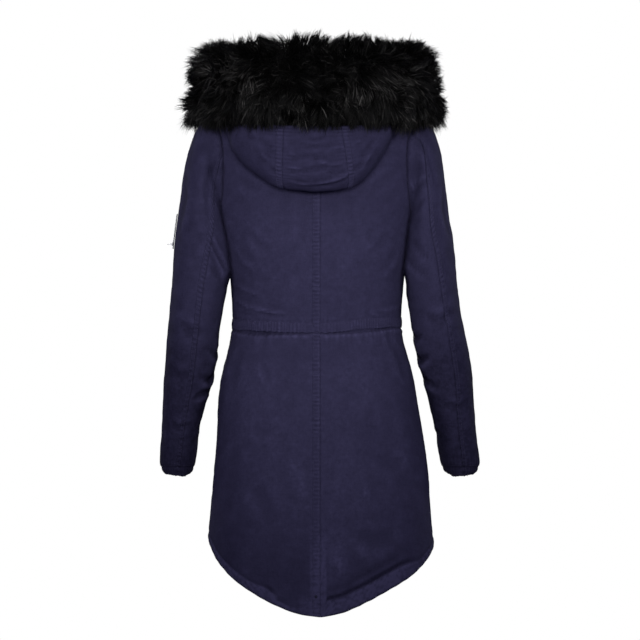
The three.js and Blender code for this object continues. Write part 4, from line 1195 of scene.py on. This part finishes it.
def body_panel(hand, half):
    """One of the four panels that are cut from shoulder to hem."""
    angles, sides = panel_grid(hand, half)
    base, n = body_point(angles, sides), body_normal(angles, sides)
    smooth = body_relief(base, n, angles, sides)
    # The cloth turns in at its side seam, armhole and shoulder.
    run = np.linalg.norm(np.diff(base, axis=1), axis=-1)[:, ::-1]
    from_edge = np.pad(np.cumsum(run, axis=1)[:, ::-1], ((0, 0), (0, 1)))
    sewn = ramp(UNDERARM - 4, UNDERARM + 4, sides)
    dip = (1.8 + 2.4 * sewn) * bump(from_edge, 0, 2.8)
    pucker = 0.35 * puckers(sides, 9.0, 91) * np.exp(-from_edge / 9)
    outer = base + n * smooth[..., None] + n * (pucker - dip)[..., None]
    # The hem's edge waves a little.
    wave = 0.9 * puckers(np.degrees(angles) * GIRTH, 22, 33, 1.3)
    outer[..., 2] += wave * np.exp(-np.clip(above_hem(angles, sides), 0, None) / 6)
    for grid in (outer, base):
        way = unit(grid[:, -2] - grid[:, -1])
        grid[:, -1] += way * SEAM_GAP / 2
    smooth = body_relief(base, n, angles, sides)
    inner = base + n * (0.8 * smooth - dip * 0.75 - CLOTH)[..., None]
    # Paler along the panel's edges, ridges rubbed paler and hollows painted darker as shade, and
    # painted shade along the armhole's seam.
    wear_and_painted_shade = 0.24 + 0.22 * np.exp(-from_edge / 4) + rubbed_and_shaded(smooth)
    wear_and_painted_shade = wear_and_painted_shade - 0.9 * sewn * bump(from_edge, 0, 1.8)
    wear_and_painted_shade = np.clip(wear_and_painted_shade + panel_wear_and_shade(half == "back", angles, sides, base, n), -0.5, 1.6)
    piece = sheet_piece(f"panel_{half}_{hand}", outer, inner, cotton, wear_and_painted_shade)
    return dress(piece, "cloth", f"{half}_{hand}")


for hand in HANDS:
    for half in ("back", "front"):
        body_panel(hand, half)


def beside_back_seam(z, x):
    """Points of the back at heights and distances to the wearer's left of its middle."""
    z, x = grid_of(z, x)
    hand = np.where(x >= 0, RING["left"](z), RING["right"](z))
    return on_body(np.sign(x) * np.arcsin((np.abs(x) / hand) ** (BODY_POWER / 2)), z)


band_z = np.arange(-22, -946, -2.0)
over_casing = 1.5 * ramp(-5, 0, CASING_TOP - 7 - band_z) * ramp(-5, 0, band_z - CASING_BOTTOM + 7)
band_wear = 0.22 + 1.0 * ramp(-760, -880, band_z)[:, None]
seam_back = felled_seam(
    "seam_back", band_z, beside_back_seam, half=6.9, cells=9, puff=0.42,
    wear_and_painted_shade=band_wear + 0.34 * bump(np.linspace(-1, 1, 10), -0.58, 0.26),
    wave=0.3 * back_ladder(band_z, 1.4), rows=(1.8, 1.6), raised=0.36,
    first=0.7, lift=over_casing, fade=0.8,
)


def casing_piece():
    """The drawstring's casing, from one front edge round the back to the other."""
    turn = steps(math.pi - 0.04, 0.0105, -math.pi + 0.04)
    v = np.linspace(0, 1, 13)
    angle, z = grid_of(turn, mix(CASING_TOP + 0.5, CASING_BOTTOM - 0.5, v))
    side = z + CASING_SAG(np.degrees(angle))
    girth = np.degrees(angle) * GIRTH
    p, n = body_point(angle, side), body_normal(angle, side)
    across = np.abs(2 * v - 1)
    profile = 0.75 + 0.75 * (1 - across**3) * (1 + 0.35 * noise_line(girth, 30, 104))
    rows = (0.17, 0.83)
    for at in rows:
        profile = profile - 0.45 * bump(v, at, 0.08)
    gathers = puckers(girth, 6.4, 101, 1.4) * (0.7 + 0.5 * noise_line(girth, 40, 103))
    profile = profile + 0.5 * gathers * (1 - across**4)
    profile = profile + 0.3 * puckers(girth + 9 * v, 15, 106, 1.2) * (1 - 0.5 * across)
    profile = np.maximum(profile, 0.45)
    outer = p + n * profile[..., None]
    # Its edges are drawn in unevenly by the gathers.
    outer[..., 2] += 1.7 * noise_line(girth, 33, 105) + 1.0 * puckers(girth, 11, 107, 1.3) * across**2
    inner = outer - n * np.minimum(profile - 0.25, 1.1)[..., None]
    wear_and_painted_shade = np.clip(0.3 + 0.5 * gathers + 0.1 * bump(v, 0, 0.08) + 0.15 * bump(v, 1, 0.1), 0, 1)
    for at in rows:
        k = int(round(at * (len(v) - 1)))
        sew(outer[:, k], n[:, k], 3.0)
    return dress(sheet_piece("casing_waist", outer, inner, cotton, wear_and_painted_shade), "cloth", "waist_casing")


casing = casing_piece()


def sleeve_piece(hand, name, start, end, columns, t):
    """One of the two pieces of a sleeve, between the angles of its seams."""
    u = np.linspace(0.0008, 0.9992, columns)[None, :]
    phi = mix(start, end, u)
    tt = t + 0 * phi
    outer, n = on_sleeve(hand, tt, phi)
    base = sleeve_point(hand, tt, phi)
    relief = ((outer - base) * n).sum(-1)
    edge = np.minimum(u, 1 - u) * SLEEVE_GIRTH * columns / (OUTER_COLUMNS + UNDER_COLUMNS)
    inner = base + n * (0.75 * relief - CLOTH)[..., None]
    outer = outer - n * (0.5 * bump(edge, 0, 2.0))[..., None]
    # The cuff's edge waves a little.
    wave = 5.0 * noise_line(np.degrees(phi), 34, 68) + 0.9 * puckers(np.degrees(phi), 17, 69)
    wave = wave + 3.5 * np.cos(phi) ** 4
    for grid in (outer, inner):
        grid[..., 2] += wave * ramp(SLEEVE_END - 0.9, SLEEVE_END, tt)
    z = base[..., 2]
    gathered = 0.6 + 0.5 * sleeve_gathers(hand, z, 0.8)
    # Paler along the seams, ridges rubbed paler and hollows painted darker as shade. The lower sleeve
    # is painted darker as shade, a painted shade line runs round the armhole, and the cuff is paler.
    wear_and_painted_shade = 0.13 + 0.2 * np.exp(-edge / 5) * gathered + rubbed_and_shaded(relief, -0.3)
    wear_and_painted_shade = wear_and_painted_shade - 0.1 * ramp(-230, -320, z) - 0.5 * ramp(-360, -540, z)
    wear_and_painted_shade = wear_and_painted_shade + 0.15 * bump(tt, SLEEVE_END, 0.5) - 0.6 * bump(tt, 0, 0.1)
    piece = sheet_piece(f"sleeve_{name}_{hand}", outer, inner, cotton, np.clip(wear_and_painted_shade, -0.6, 1))
    return dress(piece, "cloth", f"sleeve_{hand}_{name}")


def sleeve_seam(hand, name, seam_of):
    """A felled seam down the sleeve, at the degrees that seam_of gives."""
    t = np.linspace(0.12, SLEEVE_END - 0.3, 330)

    def points_at(s, v):
        s, v = grid_of(s, v)
        return on_sleeve(hand, s, np.radians(seam_of(s)) - v / SLEEVE_RADIUS)

    z = points_at(t, np.array([0.0]))[0][:, 0, 2]
    wave = 0.3 * sleeve_gathers(hand, z) * (1 - 0.5 * ramp(-420, -560, z))
    return felled_seam(
        f"seam_sleeve_{name}_{hand}", t, points_at, half=4.6, cells=6, puff=0.5,
        # The strip is painted darker towards the cuff as shade, like the lower sleeve.
        wear_and_painted_shade=(0.24 - 0.1 * ramp(-230, -320, z) - 0.5 * ramp(-340, -520, z))[:, None],
        wave=wave, rows=(1.5, 1.4), raised=0.6,
    )


def sleeve(hand):
    """The two pieces of a sleeve, its two seams, and the stitches at its cuff and armhole."""
    t = np.concatenate([
        np.linspace(0.01, 1, 10)[:-1],
        np.linspace(1, 13, 112)[:-1],
        np.linspace(13, SLEEVE_END, 26),
    ])[:, None]
    back, front = np.radians(BACK_SEAM[hand](t)), math.radians(FRONT_SEAM) + 0 * t
    pieces = [
        sleeve_piece(hand, "outer", front - TURN, back, OUTER_COLUMNS, t),
        sleeve_piece(hand, "under", back, front, UNDER_COLUMNS, t),
        sleeve_seam(hand, "back", BACK_SEAM[hand]),
        sleeve_seam(hand, "front", lambda s: FRONT_SEAM + 0 * s),
    ]
    sew(*on_sleeve(hand, np.full(140, SLEEVE_END - 1.55), np.radians(np.linspace(0, 360, 140))), 3.2)
    sew(*on_sleeve(hand, np.full(200, 0.16), np.radians(np.linspace(-170, 170, 200))), lift=0.1)
    return pieces


sleeves = {hand: sleeve(hand) for hand in HANDS}


def hood_piece(name, first, last, columns):
    """One of the three pieces of the hood, from its first place round the neck to its last."""
    down = np.concatenate([np.linspace(0, 0.62, 50)[:-1], np.linspace(0.62, 1, 56)])
    down, place = grid_of(down, np.linspace(first, last, columns))
    outer, n = on_hood(place, down)
    base = hood_point(place, down)
    relief = ((outer - base) * n).sum(-1)
    inner = base + n * (0.75 * relief - 2.6)[..., None]
    # Ridges rubbed paler and hollows painted darker as shade; paler beside the seams.
    wear_and_painted_shade = rubbed_and_shaded(relief, -0.22) - 0.07
    for seam in HOOD_SEAMS:
        away = np.abs(place - seam) * HOOD_ROUND
        outer = outer - n * (0.3 * bump(away, 0, 2.0))[..., None]
        wear_and_painted_shade = wear_and_painted_shade + 0.35 * np.exp(-away / 8) * (0.6 + 0.6 * hood_gathers(down))
    piece = sheet_piece(f"hood_panel_{name}", outer, inner, cotton, np.clip(wear_and_painted_shade, -0.5, 1))
    return dress(piece, "cloth", f"hood_{name}")


def hood_seam(name, seam, way):
    down = np.linspace(0.04, 0.985, 235)

    def points_at(s, v):
        s, v = grid_of(s, v)
        return on_hood(seam + way * v / HOOD_ROUND, s)

    return felled_seam(
        name, down, points_at, half=5.0, cells=7, puff=0.6, wear_and_painted_shade=0.26,
        wave=0.36 * hood_gathers(down), rows=(1.4, 1.5), raised=0.7,
    )


gap = SEAM_GAP / 2 / HOOD_ROUND
hood_left = hood_piece("left", 0.0, HOOD_SEAMS[0] - gap, 92)
hood_centre = hood_piece("centre", HOOD_SEAMS[0] + gap, HOOD_SEAMS[1] - gap, 40)
hood_right = hood_piece("right", HOOD_SEAMS[1] + gap, 1.0, 86)
seam_hood_left = hood_seam("seam_hood_left", HOOD_SEAMS[0], -1)
seam_hood_right = hood_seam("seam_hood_right", HOOD_SEAMS[1], 1)

# The hem's stitches run round at the top of its channel.
turn = np.radians(np.linspace(-178.6, 178.6, 700))
side = hem_height(turn)
for _ in range(4):
    side = side + (hem_channel(np.degrees(turn)) - 1.5 - above_hem(turn, side))
sew(*on_body(turn, side))

# Rows of stitches beside the armholes and down the front edges.
for hand in HANDS:
    height = np.linspace(SHOULDER_TIP - 3, UNDERARM + 5, 120)
    sew(*on_body(SIGN[hand] * (edge_angle("back", height) - 0.035), height))
    sew(*on_body(SIGN[hand] * (math.pi - edge_angle("front", height) + 0.035), height))
    height = np.linspace(-6, -770, 420)
    sew(*on_body(SIGN[hand] * (math.pi - inset_angle(hand, height, 9.0)), height))

all_stitches = stitch_bars()


def armhole_binding(hand, radius=2.9, sides=8):
    """The bound seam allowance inside the armhole: a round cord of cloth."""
    place = armhole_place(hand, turning(180))
    line = body_point(*place) - body_normal(*place) * 8.0
    way = unit(np.roll(line, -1, 0) - np.roll(line, 1, 0))
    side = unit(np.cross(way, (0.31, 0.2, 0.93)))
    lift = np.cross(side, way)
    a = turning(sides)[None, :, None]
    grid = line[:, None] + radius * (np.cos(a) * side[:, None] + np.sin(a) * lift[:, None])
    quads = sheet_quads(len(line), sides, True, True)[:, [0, 3, 2, 1]]
    wear_and_painted_shade = np.full(len(line) * sides, 0.1)
    piece = add_mesh(f"armhole_binding_{hand}", grid, [quads], cotton, {"wear_and_painted_shade": wear_and_painted_shade})
    return dress(piece, "cloth")


bindings = {hand: armhole_binding(hand) for hand in HANDS}

# ---------- fur ----------


def fur_core():
    """The dark pile under the strands."""
    place, angle = grid_of(np.linspace(0, 1, 81), turning(32))
    p, middle = fur_point(place, angle), fur_middle(place)
    grid = middle + (p - middle) * (0.72, 0.55, 0.74) * (1 + 0.06 * noise(p, 22, 111))[..., None]
    rows, columns = place.shape
    quads = sheet_quads(rows, columns, around=True)
    points = np.concatenate([grid.reshape(-1, 3), middle[:1, 0], middle[-1:, 0]])
    # Each end is closed by triangles to a point in its middle.
    k = np.arange(columns)
    m, first = (k + 1) % columns, np.full(columns, rows * columns)
    top = (rows - 1) * columns
    ends = np.concatenate([
        np.stack([m, k, first], axis=-1),
        np.stack([top + k, top + m, first + 1], axis=-1),
    ])
    if looks_inwards(points, quads, points[quads[:, 0]] - middle[:-1].reshape(-1, 3)):
        quads, ends = quads[:, ::-1], ends[:, ::-1]
    values = {"tone": np.full(len(points), 0.01)}
    return dress(add_mesh("fur_core", points, [quads, ends], fur_base, values), "fur", "fur_trim")


FUR_PIECES = (("fur_left", 0.0, 0.37), ("fur_back", 0.37, 0.69), ("fur_right", 0.69, 1.0))
STRANDS_MM2 = 0.212
STRAND_WIDE = 1.0
TRIED_ROOTS = 400_000
TUFT_MM = 9.5
NEAREST_BLOCK = 4000  # strands that look for their tuft at a time
STRAND_LONG = (27, 43)
ROOT_DEPTH = 21.0
SPIKE, SPIKE_SHARE = 10.0, 0.2
# Where the pile catches the light: X, Z, width, height, amount.
FUR_SHEEN = [
    (141, 16, 34, 26, 2.5), (195, 36, 28, 22, 2.1), (-66, -8, 28, 26, 1.3), (22, -40, 60, 12, 1.8),
    (-138, 4, 34, 22, 1.0), (-158, -48, 32, 16, 1.5), (204, -46, 32, 20, 1.3), (-160, 34, 40, 20, 1.0),
]
# Where the room behind the jacket gets less, and where it ends.
FUR_BACK_START, FUR_BACK_LIMIT = 186.0, 210.0
ALONG = np.array([0.0, 0.4, 0.74, 1.0])  # places of a strand's points from its root to its tip
TAPER = np.array([0.8, 1.0, 0.62, 0.0])
TIP_TONES = (0.15, 0.75, 1.0, 0.15, 0.75, 1.0, 0.85)  # of both sides from the root, and the tip


def fur_sides(place, angle, step, turn):
    """Steps over the fur's outside: along it, within its ends, and round it."""
    along = [fur_point(np.clip(place + way * step, 0, 1), angle) for way in (1, -1)]
    around = [fur_point(place, angle + way * turn) for way in (1, -1)]
    return along[0] - along[1], around[0] - around[1]


def fur_frame(place, angle):
    """Points and outward ways of the fur's outside."""
    p = fur_point(place, angle)
    n = unit(p - fur_middle(place))
    square = turned(unit(np.cross(*fur_sides(place, angle, 0.004, 0.02))), n)
    return p, unit(0.6 * square + 0.4 * n)


def fur_roots(rng, first, last):
    """Places, angles and area: roots spread evenly by rejection against the local area."""
    place = rng.uniform(first, last, TRIED_ROOTS)
    angle = rng.uniform(0, TURN, TRIED_ROOTS)
    along, around = fur_sides(place, angle, 0.002, 0.01)
    density = np.linalg.norm(np.cross(along / 0.004, around / 0.02), axis=-1)
    area = density.mean() * (last - first) * TURN
    keep = rng.uniform(0, density.max() * 0.5, TRIED_ROOTS) < density
    wanted = int(area * STRANDS_MM2)
    return place[keep][:wanted], angle[keep][:wanted], area


def fur_lay(p, n):
    """The way the pile is combed: by slow swirls, and mostly down."""
    swirl = xyz(*(noise(p, 40, seed) for seed in (121, 122, 123)))
    fine = xyz(*(noise(p, 13, seed) for seed in (124, 125, 126)))
    way = 1.1 * swirl + 1.3 * fine + (0, 0, -0.36)
    return way - n * (way * n).sum(-1, keepdims=True)


def fur_lines(rng, place, angle, p, n, tufts, nearest):
    """The strands' lines. Each strand leans towards the tip of its tuft."""
    upper, lower = ramp(0.3, 0.9, -np.cos(angle)), ramp(-0.1, 0.8, np.cos(angle))
    stand = (0.8 + 0.5 * upper)[:, None]
    centres, centre_n = p[:tufts], n[:tufts]
    tuft_way = unit(centre_n * stand[:tufts] + fur_lay(centres, centre_n))
    tuft_long = rng.uniform(*STRAND_LONG, tufts)
    own_way = unit(n * stand + fur_lay(p, n) + rng.normal(0, 0.34, p.shape))
    size = np.clip(np.minimum(FUR["high"](place), FUR["deep"](place)) / 45, 0.35, 1.0)
    crest = upper * (9.0 * bump(p[:, 0], 68, 44) - 7.0 * bump(p[:, 0], -146, 44))
    long = tuft_long[nearest] * rng.uniform(0.7, 1.12, len(p)) * size + 3.0 * upper + crest
    sunk = -ROOT_DEPTH * size
    root = p + n * (sunk * rng.uniform(0.75, 1.15, len(p)))[:, None]
    tuft_root = centres + centre_n * sunk[:tufts, None]
    tuft_tip = tuft_root[nearest] + tuft_way[nearest] * long[:, None]
    sideways = ramp(0.3, 0.8, np.abs(n[:, 0]))
    pull = rng.uniform(0.2, 0.85, len(p))
    pull = pull + (0.97 - pull) * 0.55 * np.maximum(sideways, upper)
    tip = mix(root + own_way * long[:, None], tuft_tip, pull[:, None])
    # No strand stands further out of the fur's outside than its spikes do.
    spikes = SPIKE * (rng.uniform(0, 1, tufts) < SPIKE_SHARE)
    tuft_reach = (1.5 + 7.0 * rng.uniform(0, 1, tufts) ** 2 + spikes)[nearest]
    reach = tuft_reach + 10.0 * upper + crest + 2.0 * lower + 6.0 * sideways
    reach = reach * rng.uniform(0.5, 1.15, len(p))
    tip = tip - n * np.clip(((tip - p) * n).sum(-1) - reach, 0, None)[:, None]
    bend = root + (tip - root) * 0.45 + n * (long * 0.16)[:, None] + rng.normal(0, 1.6, p.shape)
    # Its lower edge hangs, tuft by tuft.
    hang = (2.5 + lower * (3.0 + 11.0 * rng.uniform(0, 1, tufts)[nearest])) * size
    tip[:, 2] -= hang * rng.uniform(0.6, 1.1, len(p))
    # Towards the back the strands are pressed down into the room behind the jacket.
    room = FUR_BACK_LIMIT - FUR_BACK_START
    for end in (tip, bend):
        past = np.clip(end[:, 1] - FUR_BACK_START, 0, None)
        end[:, 1] -= past - room * (1 - np.exp(-past / room))
    line = [root * (1 - s) ** 2 + bend * 2 * s * (1 - s) + tip * s * s for s in ALONG]
    return np.stack(line, axis=1)


def fur_tones(rng, sheen, bright, tufts, nearest):
    """Most strands are black; some tufts and single strands catch the light as grey."""
    tuft_tone = np.clip(rng.normal(0.05, 0.06, tufts), 0.0, 1)
    tuft_tone = tuft_tone + 0.1 * (rng.uniform(0, 1, tufts) < 0.1)
    tone = tuft_tone[nearest] * rng.uniform(0.1, 1.6, len(sheen)) * (0.25 + 0.35 * sheen)
    tone += np.where(bright, rng.uniform(0.15, 1.0, len(sheen)), 0) * (0.2 + 0.6 * sheen)
    return np.clip(tone[:, None] * TIP_TONES, 0, 1)


def fur_map(piece, count):
    """Gives each strand a narrow cell of its own in the piece's map."""
    across = int(math.ceil(math.sqrt(count * 8)))
    cell = np.array([1 / across, 1 / int(math.ceil(count / across))])
    corner = np.stack([np.arange(count) % across, np.arange(count) // across], axis=1) * cell
    up = 0.04 + 0.92 * ALONG
    places = [(u, v) for u in (0.12, 0.88) for v in up[:3]] + [(0.5, up[3])]
    uv = corner[:, None] + np.array(places) * cell
    index = np.empty(len(piece.data.loops), np.int32)
    piece.data.loops.foreach_get("vertex_index", index)
    layer = piece.data.uv_layers.new(name="OFBake")
    layer.data.foreach_set("uv", uv.reshape(-1, 2)[index].astype(np.float32).ravel())


def fur_strands(name, first, last, seed):
    """Tapered ribbons in tufts, combed outwards and hanging at the lower edge."""
    rng = np.random.RandomState(seed)
    place, angle, area = fur_roots(rng, first, last)
    p, n = fur_frame(place, angle)
    count, tufts = len(p), max(int(area / TUFT_MM**2), 8)
    nearest = np.concatenate([
        ((block[:, None] - p[None, :tufts]) ** 2).sum(-1).argmin(1)
        for block in np.split(p, range(NEAREST_BLOCK, count, NEAREST_BLOCK))
    ])
    line = fur_lines(rng, place, angle, p, n, tufts, nearest)
    face = n[:, None, :] + rng.normal(0, 0.35, (count, 1, 3))
    sideways = unit(np.cross(np.gradient(line, axis=1), face))
    sheen = 0.24 + 0.24 * ramp(-0.25, 0.6, noise(p, 34, 131))
    for x, z, wide, high, amount in FUR_SHEEN:
        sheen = sheen + amount * bump(p[:, 0], x, wide) * bump(p[:, 2], z, high)
    bright = rng.uniform(0, 1, count) < 0.05 + 0.07 * sheen
    width = rng.uniform(0.6, 1.25, count) * np.where(bright, 1.3, 1) * STRAND_WIDE
    half = sideways * (width[:, None] * TAPER / 2)[..., None]
    points = np.concatenate([(line - half)[:, :3], (line + half)[:, :3], line[:, 3:]], axis=1)
    base = np.arange(count)[:, None] * points.shape[1]
    quads = np.concatenate([base + (0, 3, 4, 1), base + (1, 4, 5, 2)])
    tone = fur_tones(rng, sheen, bright, tufts, nearest)
    piece = add_mesh(name, points, [quads, base + (2, 5, 6)], fur_hair, {"tone": tone})
    fur_map(piece, count)
    return dress(piece, "fur")


core = fur_core()
for k, (name, first, last) in enumerate(FUR_PIECES):
    fur_strands(name, first, last, 200 + k)

# ---------- zips and the eyelet ----------


def zip_teeth(name, line, across, out, raised, aside, size, material):
    """Bevelled teeth that stand by turns on one side and the other of a line of points."""
    down = unit(np.gradient(line, axis=0))
    odd = np.where(np.arange(len(line)) % 2 == 0, aside, -aside)[:, None]
    centres = line + across * odd + out * raised
    rings = []
    for end, share in ((-1, 0.72), (-0.45, 1.0), (0.45, 1.0), (1, 0.72)):
        for a, b in ((-1, -1), (1, -1), (1, 1), (-1, 1)):
            corner = across * (size[0] * a * share) + out * (size[1] * b * share)
            rings.append(centres + corner + down * (size[2] * end))
    return bars(name, rings, material, "metal", np.full(len(line), 0.3), smooth=False)


def front_middle(height):
    """Points and normals down the middle of the front."""
    angle = np.full(height.shape, math.pi)
    return body_point(angle, height), body_normal(angle, height)


def front_zip_tape(sign, label):
    """The cloth tape that one side's teeth are fixed to."""
    p, n = front_middle(np.linspace(-0.5, -786, 300))
    v = np.linspace(1.0, 11.6, 7)
    depth = 0.9 + 3.1 * ramp(1.0, 3.2, v)
    outer = p[:, None] + np.array([sign, 0, 0]) * v[:, None] - n[:, None] * depth[:, None]
    wear_and_painted_shade = np.full(outer.shape[:2], 0.2)
    piece = sheet_piece(f"front_zip_tape_{label}", outer, outer - n[:, None], tape, wear_and_painted_shade, 0.2)
    return dress(piece, "zip_tape", *(["front_zip"] if label == "left" else []))


p, n = front_middle(-1.0 - 2.6 * np.arange(331))
p, n = p[p[:, 2] > -784], n[p[:, 2] > -784]
zip_teeth("front_zip_teeth", p, np.array([1.0, 0, 0]), n, 0.05, 1.15, (1.75, 0.85, 0.85), gunmetal)
tapes = [front_zip_tape(SIGN[hand], hand) for hand in HANDS]


def sleeve_zip_teeth():
    """The teeth down the outside of the left upper arm, just outside its rings."""
    height = np.arange(-229.5, -289, -2.1)
    out_z, x, y = (np.array(SLEEVE_RINGS, float)[:, k] for k in (0, 2, 7))
    p = xyz(np.interp(-height, -out_z, x) + 1.95, np.interp(-height, -out_z, y), height)
    out = turned(unit(np.cross(np.gradient(p, axis=0), (0, 1.0, 0))), (1, 0, 0))
    across = unit(np.cross(out, np.gradient(p, axis=0)))
    return zip_teeth("sleeve_zip_teeth", p, across, out, 0.5, 0.95, (1.5, 0.7, 0.72), steel)


sleeve_zip_teeth()


def eyelet(z=-914.0, x=8.0, ring=1.9, thick=0.62, high=0.5):
    """The small eyelet beside the tail of the back seam."""
    p, n = (value[0, 0] for value in beside_back_seam(np.array([z]), np.array([x])))
    side = unit(np.cross(n, (0, 0, 1.0)))
    up = np.cross(side, n)
    a, b = (value[..., None] for value in grid_of(turning(28), turning(10)))
    out = ring + thick * np.cos(b)
    points = p + n * 1.35 + out * np.cos(a) * side + out * np.sin(a) * up + high * np.sin(b) * n
    quads = sheet_quads(28, 10, True, True)[:, [0, 3, 2, 1]]
    return dress(add_mesh("tail_eyelet", points, [quads], eyelet_metal), "metal")


eyelet_ring = eyelet()

# ---------- the CAD nodes that stay ----------

KEPT = {
    "front_zip_slider": gunmetal,
    "front_zip_pull": gunmetal,
    "sleeve_zip": tape,
    "sleeve_zip_slider": steel,
    "sleeve_zip_pull": steel,
}
by_node = {o["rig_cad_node"]: o for o in bpy.data.objects if "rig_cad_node" in o}
for name, material in KEPT.items():
    by_node[name].data.materials.clear()
    by_node[name].data.materials.append(material)

# ---------- stage, light and camera ----------

CAMERA_FAR, VIEW_WIDE = 30.0, 1.152
camera_data = bpy.data.cameras.new("camera")
camera_data.sensor_width = 36
camera_data.lens = 36 * CAMERA_FAR / VIEW_WIDE
camera_data.clip_end = 100
camera = bpy.data.objects.new("camera", camera_data)
camera.location = (0.0009, CAMERA_FAR, -0.418)
camera.rotation_euler = (math.pi / 2, 0, math.pi)
bpy.context.scene.collection.objects.link(camera)
bpy.context.scene.camera = camera


def floor(radius=1600, height=-1300, count=96):
    """A pale disc below the jacket that fades out towards its rim."""
    material, tree, shader, where = new_material("pale_floor")
    colour = mixed_colour(tree, mapped_noise(tree, where, 2.0), [0.80] * 3, [0.84] * 3)
    feed(tree, colour, shader.inputs["Base Color"])
    shader.inputs["Roughness"].default_value = 0.9
    flat = node(tree, "Mapping", {"Vector": where, "Scale": (1, 1, 0)}).outputs[0]
    away = node(tree, "VectorMath", {0: flat}, operation="LENGTH").outputs["Value"]
    fade = node(tree, "MapRange", {"Value": away, "From Min": 1.5, "From Max": 0.3})
    feed(tree, fade.outputs[0], shader.inputs["Alpha"])
    a = turning(count)
    ring = xyz(radius * np.cos(a), radius * np.sin(a), height)
    k = np.arange(count)
    faces = np.stack([k, (k + 1) % count, np.full(count, count)], axis=-1)
    add_mesh("floor", np.concatenate([ring, [(0, 0, height)]]), [faces], material)


floor()

# Name, place, target, size, watts, spread in degrees.
LIGHTS = (
    ("key", (0.05, 2.7, 0.22), (0, 0.1, -0.315), (0.9, 0.7), 2.0, 37),
    ("fill_left", (2.2, 2.0, 0.5), (0, 0, -0.1), (0.9, 0.9), 1.15, 40),
    ("fill_right", (-2.2, 2.0, 0.5), (0, 0, -0.1), (0.9, 0.9), 1.5, 40),
    ("side_-1", (-2.2, -2.0, 0.4), (0, 0, -0.3), (0.9, 0.9), 1.6, 60),
    ("side_1", (2.2, -2.0, 0.4), (0, 0, -0.3), (0.9, 0.9), 1.6, 60),
    ("front", (0.2, -2.6, 0.5), (0, 0, -0.25), (1.1, 0.9), 8, 60),
)
for name, place, target, size, watts, spread in LIGHTS:
    data = bpy.data.lights.new(name, "AREA")
    data.shape = "RECTANGLE"
    data.size, data.size_y = size
    data.energy = watts
    data.spread = math.radians(spread)
    light = bpy.data.objects.new(name, data)
    light.location = place
    x, y, z = np.subtract(target, place)
    light.rotation_euler = (math.pi / 2 + math.atan2(z, math.hypot(x, y)), 0, math.atan2(-x, y))
    bpy.context.scene.collection.objects.link(light)

# The world is white to the camera and a faint blue to the jacket.
world = bpy.data.worlds.new("studio")
world.use_nodes = True
bpy.context.scene.world = world
tree = world.node_tree
tree.nodes.clear()
around = node(tree, "Background", {"Color": (0.78, 0.74, 1.4, 1), "Strength": 0.08}).outputs[0]
seen = node(tree, "Background", {"Color": (1, 1, 1, 1), "Strength": 1.0}).outputs[0]
to_camera = node(tree, "LightPath").outputs["Is Camera Ray"]
blend = node(tree, "MixShader", {0: to_camera, 1: around, 2: seen})
node(tree, "OutputWorld", {"Surface": blend.outputs[0]})

view = bpy.context.scene.view_settings
view.view_transform = "Standard"
view.look = "None"
view.exposure = 0.0
